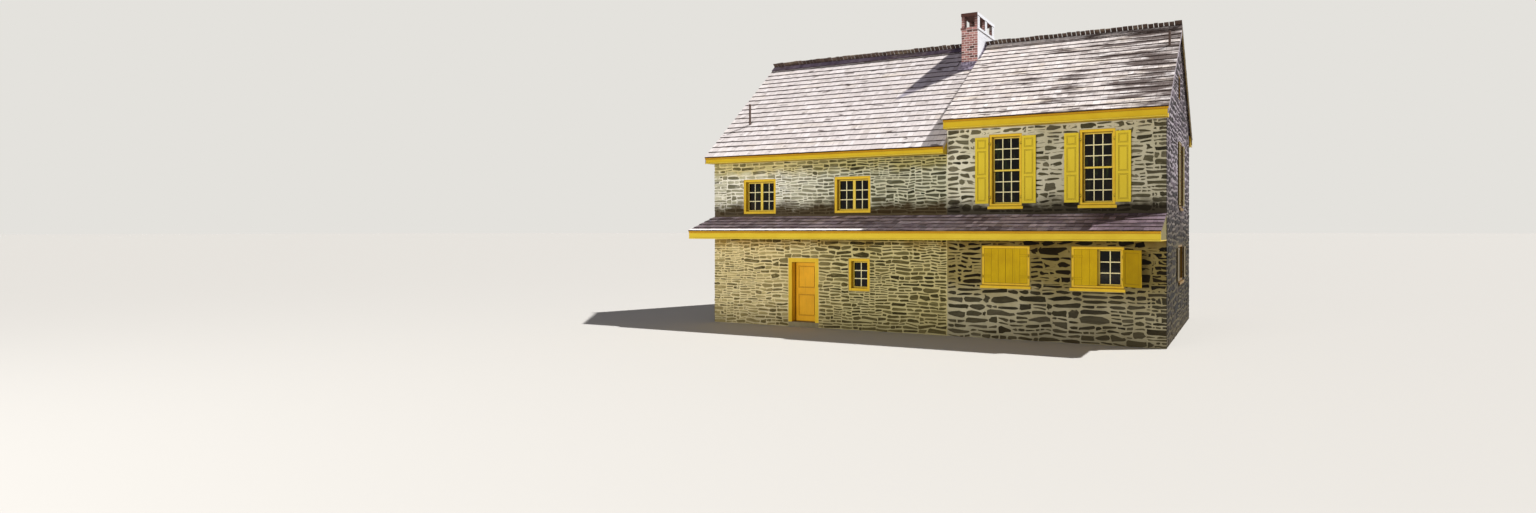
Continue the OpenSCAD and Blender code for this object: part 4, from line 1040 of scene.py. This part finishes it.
def brick_course(bm, out, bottom, top, turned, dice):
    x0, x1 = CHIMNEY_X[0] - out, CHIMNEY_X[1] + out
    y0, y1 = CHIMNEY_Y[0] - out, CHIMNEY_Y[1] + out
    inset = BRICK_W + BED
    along_x = (x0 + inset, x1 - inset) if turned else (x0, x1)
    along_y = (y0, y1) if turned else (y0 + inset, y1 - inset)
    for (low, high), is_x, edges in ((along_x, True, (y0, y1)), (along_y, False, (x0, x1))):
        count = max(1, round((high - low + BED) / (BRICK_L + BED)))
        step = (high - low + BED) / count
        for a in [low + number * step for number in range(count)]:
            length = (a, a + step - BED)
            for face in ((edges[0], edges[0] + BRICK_W), (edges[1] - BRICK_W, edges[1])):
                (bx0, bx1), (by0, by1) = (length, face) if is_x else (face, length)
                lay_brick(bm, (bx0, by0, bottom), (bx1, by1, top), dice)


bm = bmesh.new()
dice = random.Random("bricks")
for course in range(COURSES):
    bottom = SHAFT_Z - COURSE * (2 + course) + BED / 2
    brick_course(bm, BRICK_PROUD, bottom, bottom + COURSE - BED, course % 2, dice)
brick_course(bm, CORBEL + BRICK_PROUD, SHAFT_Z - COURSE + BED / 2, SHAFT_Z - BED / 4, 0, dice)
for x in (CHIMNEY_X[0], CHIMNEY_X[1] - BRICK_W):
    for y in (CHIMNEY_Y[0], MID - BRICK_W, CHIMNEY_Y[1] - BRICK_L):
        for low in [SHAFT_Z + PIER_COURSE * number + BED / 2 for number in range(PIER_COURSES)]:
            top = low + PIER_COURSE - BED
            lay_brick(bm, (x - BRICK_PROUD, y - BRICK_PROUD, low),
                      (x + BRICK_W + BRICK_PROUD, y + BRICK_L + BRICK_PROUD, top), dice)
soften(bm, 0.004)
make_piece("chimney_bricks", bm, HOUSE, [BRICK])

# %% [markdown]
# In front of the chimney the lead is dressed down over the shingles as an apron, so that rain runs over
# the joint. A thin sheet follows the steps of the courses, so it waves a little, and its lower edge is
# cut by hand.

# %% Lead apron
bm = bmesh.new()
dice = random.Random("apron")
APRON_WIDE, APRON_DOWN, APRON_MIDDLE = 0.66, 0.30, 7.955
bmesh.ops.create_grid(bm, x_segments=14, y_segments=6, size=0.5)
for vert in bm.verts:
    ragged = dice.uniform(-0.02, 0.02) if vert.co.y < -0.4 else 0.0
    down = (vert.co.y - 0.5) * APRON_DOWN + ragged
    vert.co = (vert.co.x * APRON_WIDE, down, dice.uniform(0.003, 0.010))
bmesh.ops.solidify(bm, geom=bm.faces[:], thickness=-0.002)
top_z = RIDGE - RISE_LEFT * (MID - CHIMNEY_Y[0]) + 0.004
place = HOUSE @ Matrix.Translation((APRON_MIDDLE, CHIMNEY_Y[0] - 0.005, top_z))
make_piece("lead_apron", bm, place @ Matrix.Rotation(math.atan(RISE_LEFT), 4, "X"), [LEAD])

# %% [markdown]
# Each sash is divided by thin moulded bars, let into its stiles and rails. A casement leaf has two
# panes by three, each half of a tall window three by three, the attic window two by two.

# %% Glazing bars
PANES = {"casement": (2, 3), "small": (2, 3), "tall": (3, 3), "low": (2, 3), "attic": (2, 2)}
SASH_W, SASH_T, SASH_Y, BAR = 0.045, 0.040, 0.130, 0.028


def sashes_of(kind):
    width, height, _, jamb = KINDS[kind]
    clear_w, clear_h = width - 2 * jamb, height - 2 * jamb
    if kind == "tall":
        half = clear_h / 2 + SASH_W / 2
        return [(0, jamb + clear_h - half, clear_w, half, SASH_Y), (0, jamb, clear_w, half, SASH_Y + SASH_T)]
    if kind in ("casement", "low"):
        return [(side * clear_w / 4, jamb, clear_w / 2, clear_h, SASH_Y) for side in (-1, 1)]
    return [(0, jamb, clear_w, clear_h, SASH_Y)]


def bars_of_sash(bm, left, bottom, width, height, y, panes):
    y0, y1, let_in = y + 0.006, y + SASH_T - 0.006, 0.004
    for x in [left + width * number / panes[0] for number in range(1, panes[0])]:
        block(bm, (x - BAR / 2, y0, bottom - let_in), (x + BAR / 2, y1, bottom + height + let_in))
    for z in [bottom + height * number / panes[1] for number in range(1, panes[1])]:
        block(bm, (left - let_in, y0 + 0.001, z - BAR / 2), (left + width + let_in, y1 - 0.001, z + BAR / 2))


for wall in ("front", "right", "rear", "left"):
    bm = bmesh.new()
    for kind, middle in windows_of(wall):
        for x, z, width, height, y in sashes_of(kind):
            bars_of_sash(bm, middle + x - width / 2 + SASH_W, KINDS[kind][2] + z + SASH_W,
                         width - 2 * SASH_W, height - 2 * SASH_W, y, PANES[kind])
    soften(bm, 0.005)
    make_piece("glazing_bars_" + wall, bm, WALLS[wall], [BAR_PAINT])

# %% [markdown]
# The house stands on a plain pale floor. A sun lamp with a soft edge comes from the right and a little
# from behind, which lights the roofs and throws the chimney's shadow on the left one. A wide soft lamp
# in front, low enough to spare the roofs, fills the front walls. The sky is pale where the camera or a
# reflection sees it and weaker where it lights, so that colours come out about as they are written.

# %% Floor
bm = bmesh.new()
just_below = Matrix.Translation((0, 0, -0.002))
bmesh.ops.create_circle(bm, cap_ends=True, radius=900, segments=96, matrix=just_below)
FLOOR, tree, place = start_finish("Pale matt studio floor")
end_finish(tree, colour("#BDBAB4"), 0.95, pattern(tree, place, 400), 0.0, 0.001, Specular_IOR_Level=0.1)
add_object("floor", bm, [FLOOR])

# %% Lights and background
sun = bpy.data.objects.new("sun", bpy.data.lights.new("sun", "SUN"))
sun.data.energy, sun.data.angle = 5.5, math.radians(1.0)
sun.rotation_euler = Vector((1.56, 0.825, 2.485)).to_track_quat("Z", "Y").to_euler()
fill = bpy.data.objects.new("fill", bpy.data.lights.new("fill", "AREA"))
fill.data.shape, fill.data.energy = "RECTANGLE", 5900
fill.data.size, fill.data.size_y = 20, 8
fill.location = (-8, -36, 4.8)
fill.rotation_euler = (fill.location - Vector((0, 0, 3))).to_track_quat("Z", "Y").to_euler()
fill.visible_glossy = False
for lamp in (sun, fill):
    bpy.context.scene.collection.objects.link(lamp)

world = bpy.data.worlds.new("studio")
bpy.context.scene.world = world
world.use_nodes = True
tree = world.node_tree
tree.nodes.clear()
ray = add(tree, "LightPath")
seen = ray.outputs["Is Camera Ray"]
for kind in ("Is Glossy Ray", "Is Transmission Ray"):
    seen = add(tree, "Math", {0: seen, 1: ray.outputs[kind]}, 0, operation="MAXIMUM")
soft = add(tree, "Background", {"Color": colour("#E9E6F8"), "Strength": 0.16}, "Background")
pale = add(tree, "Background", {"Color": colour("#E4E2DD"), "Strength": 1.0}, "Background")
add(tree, "OutputWorld", {"Surface": add(tree, "MixShader", {0: seen, 1: soft, 2: pale}, "Shader")})
bpy.context.scene.view_settings.view_transform = "Standard"
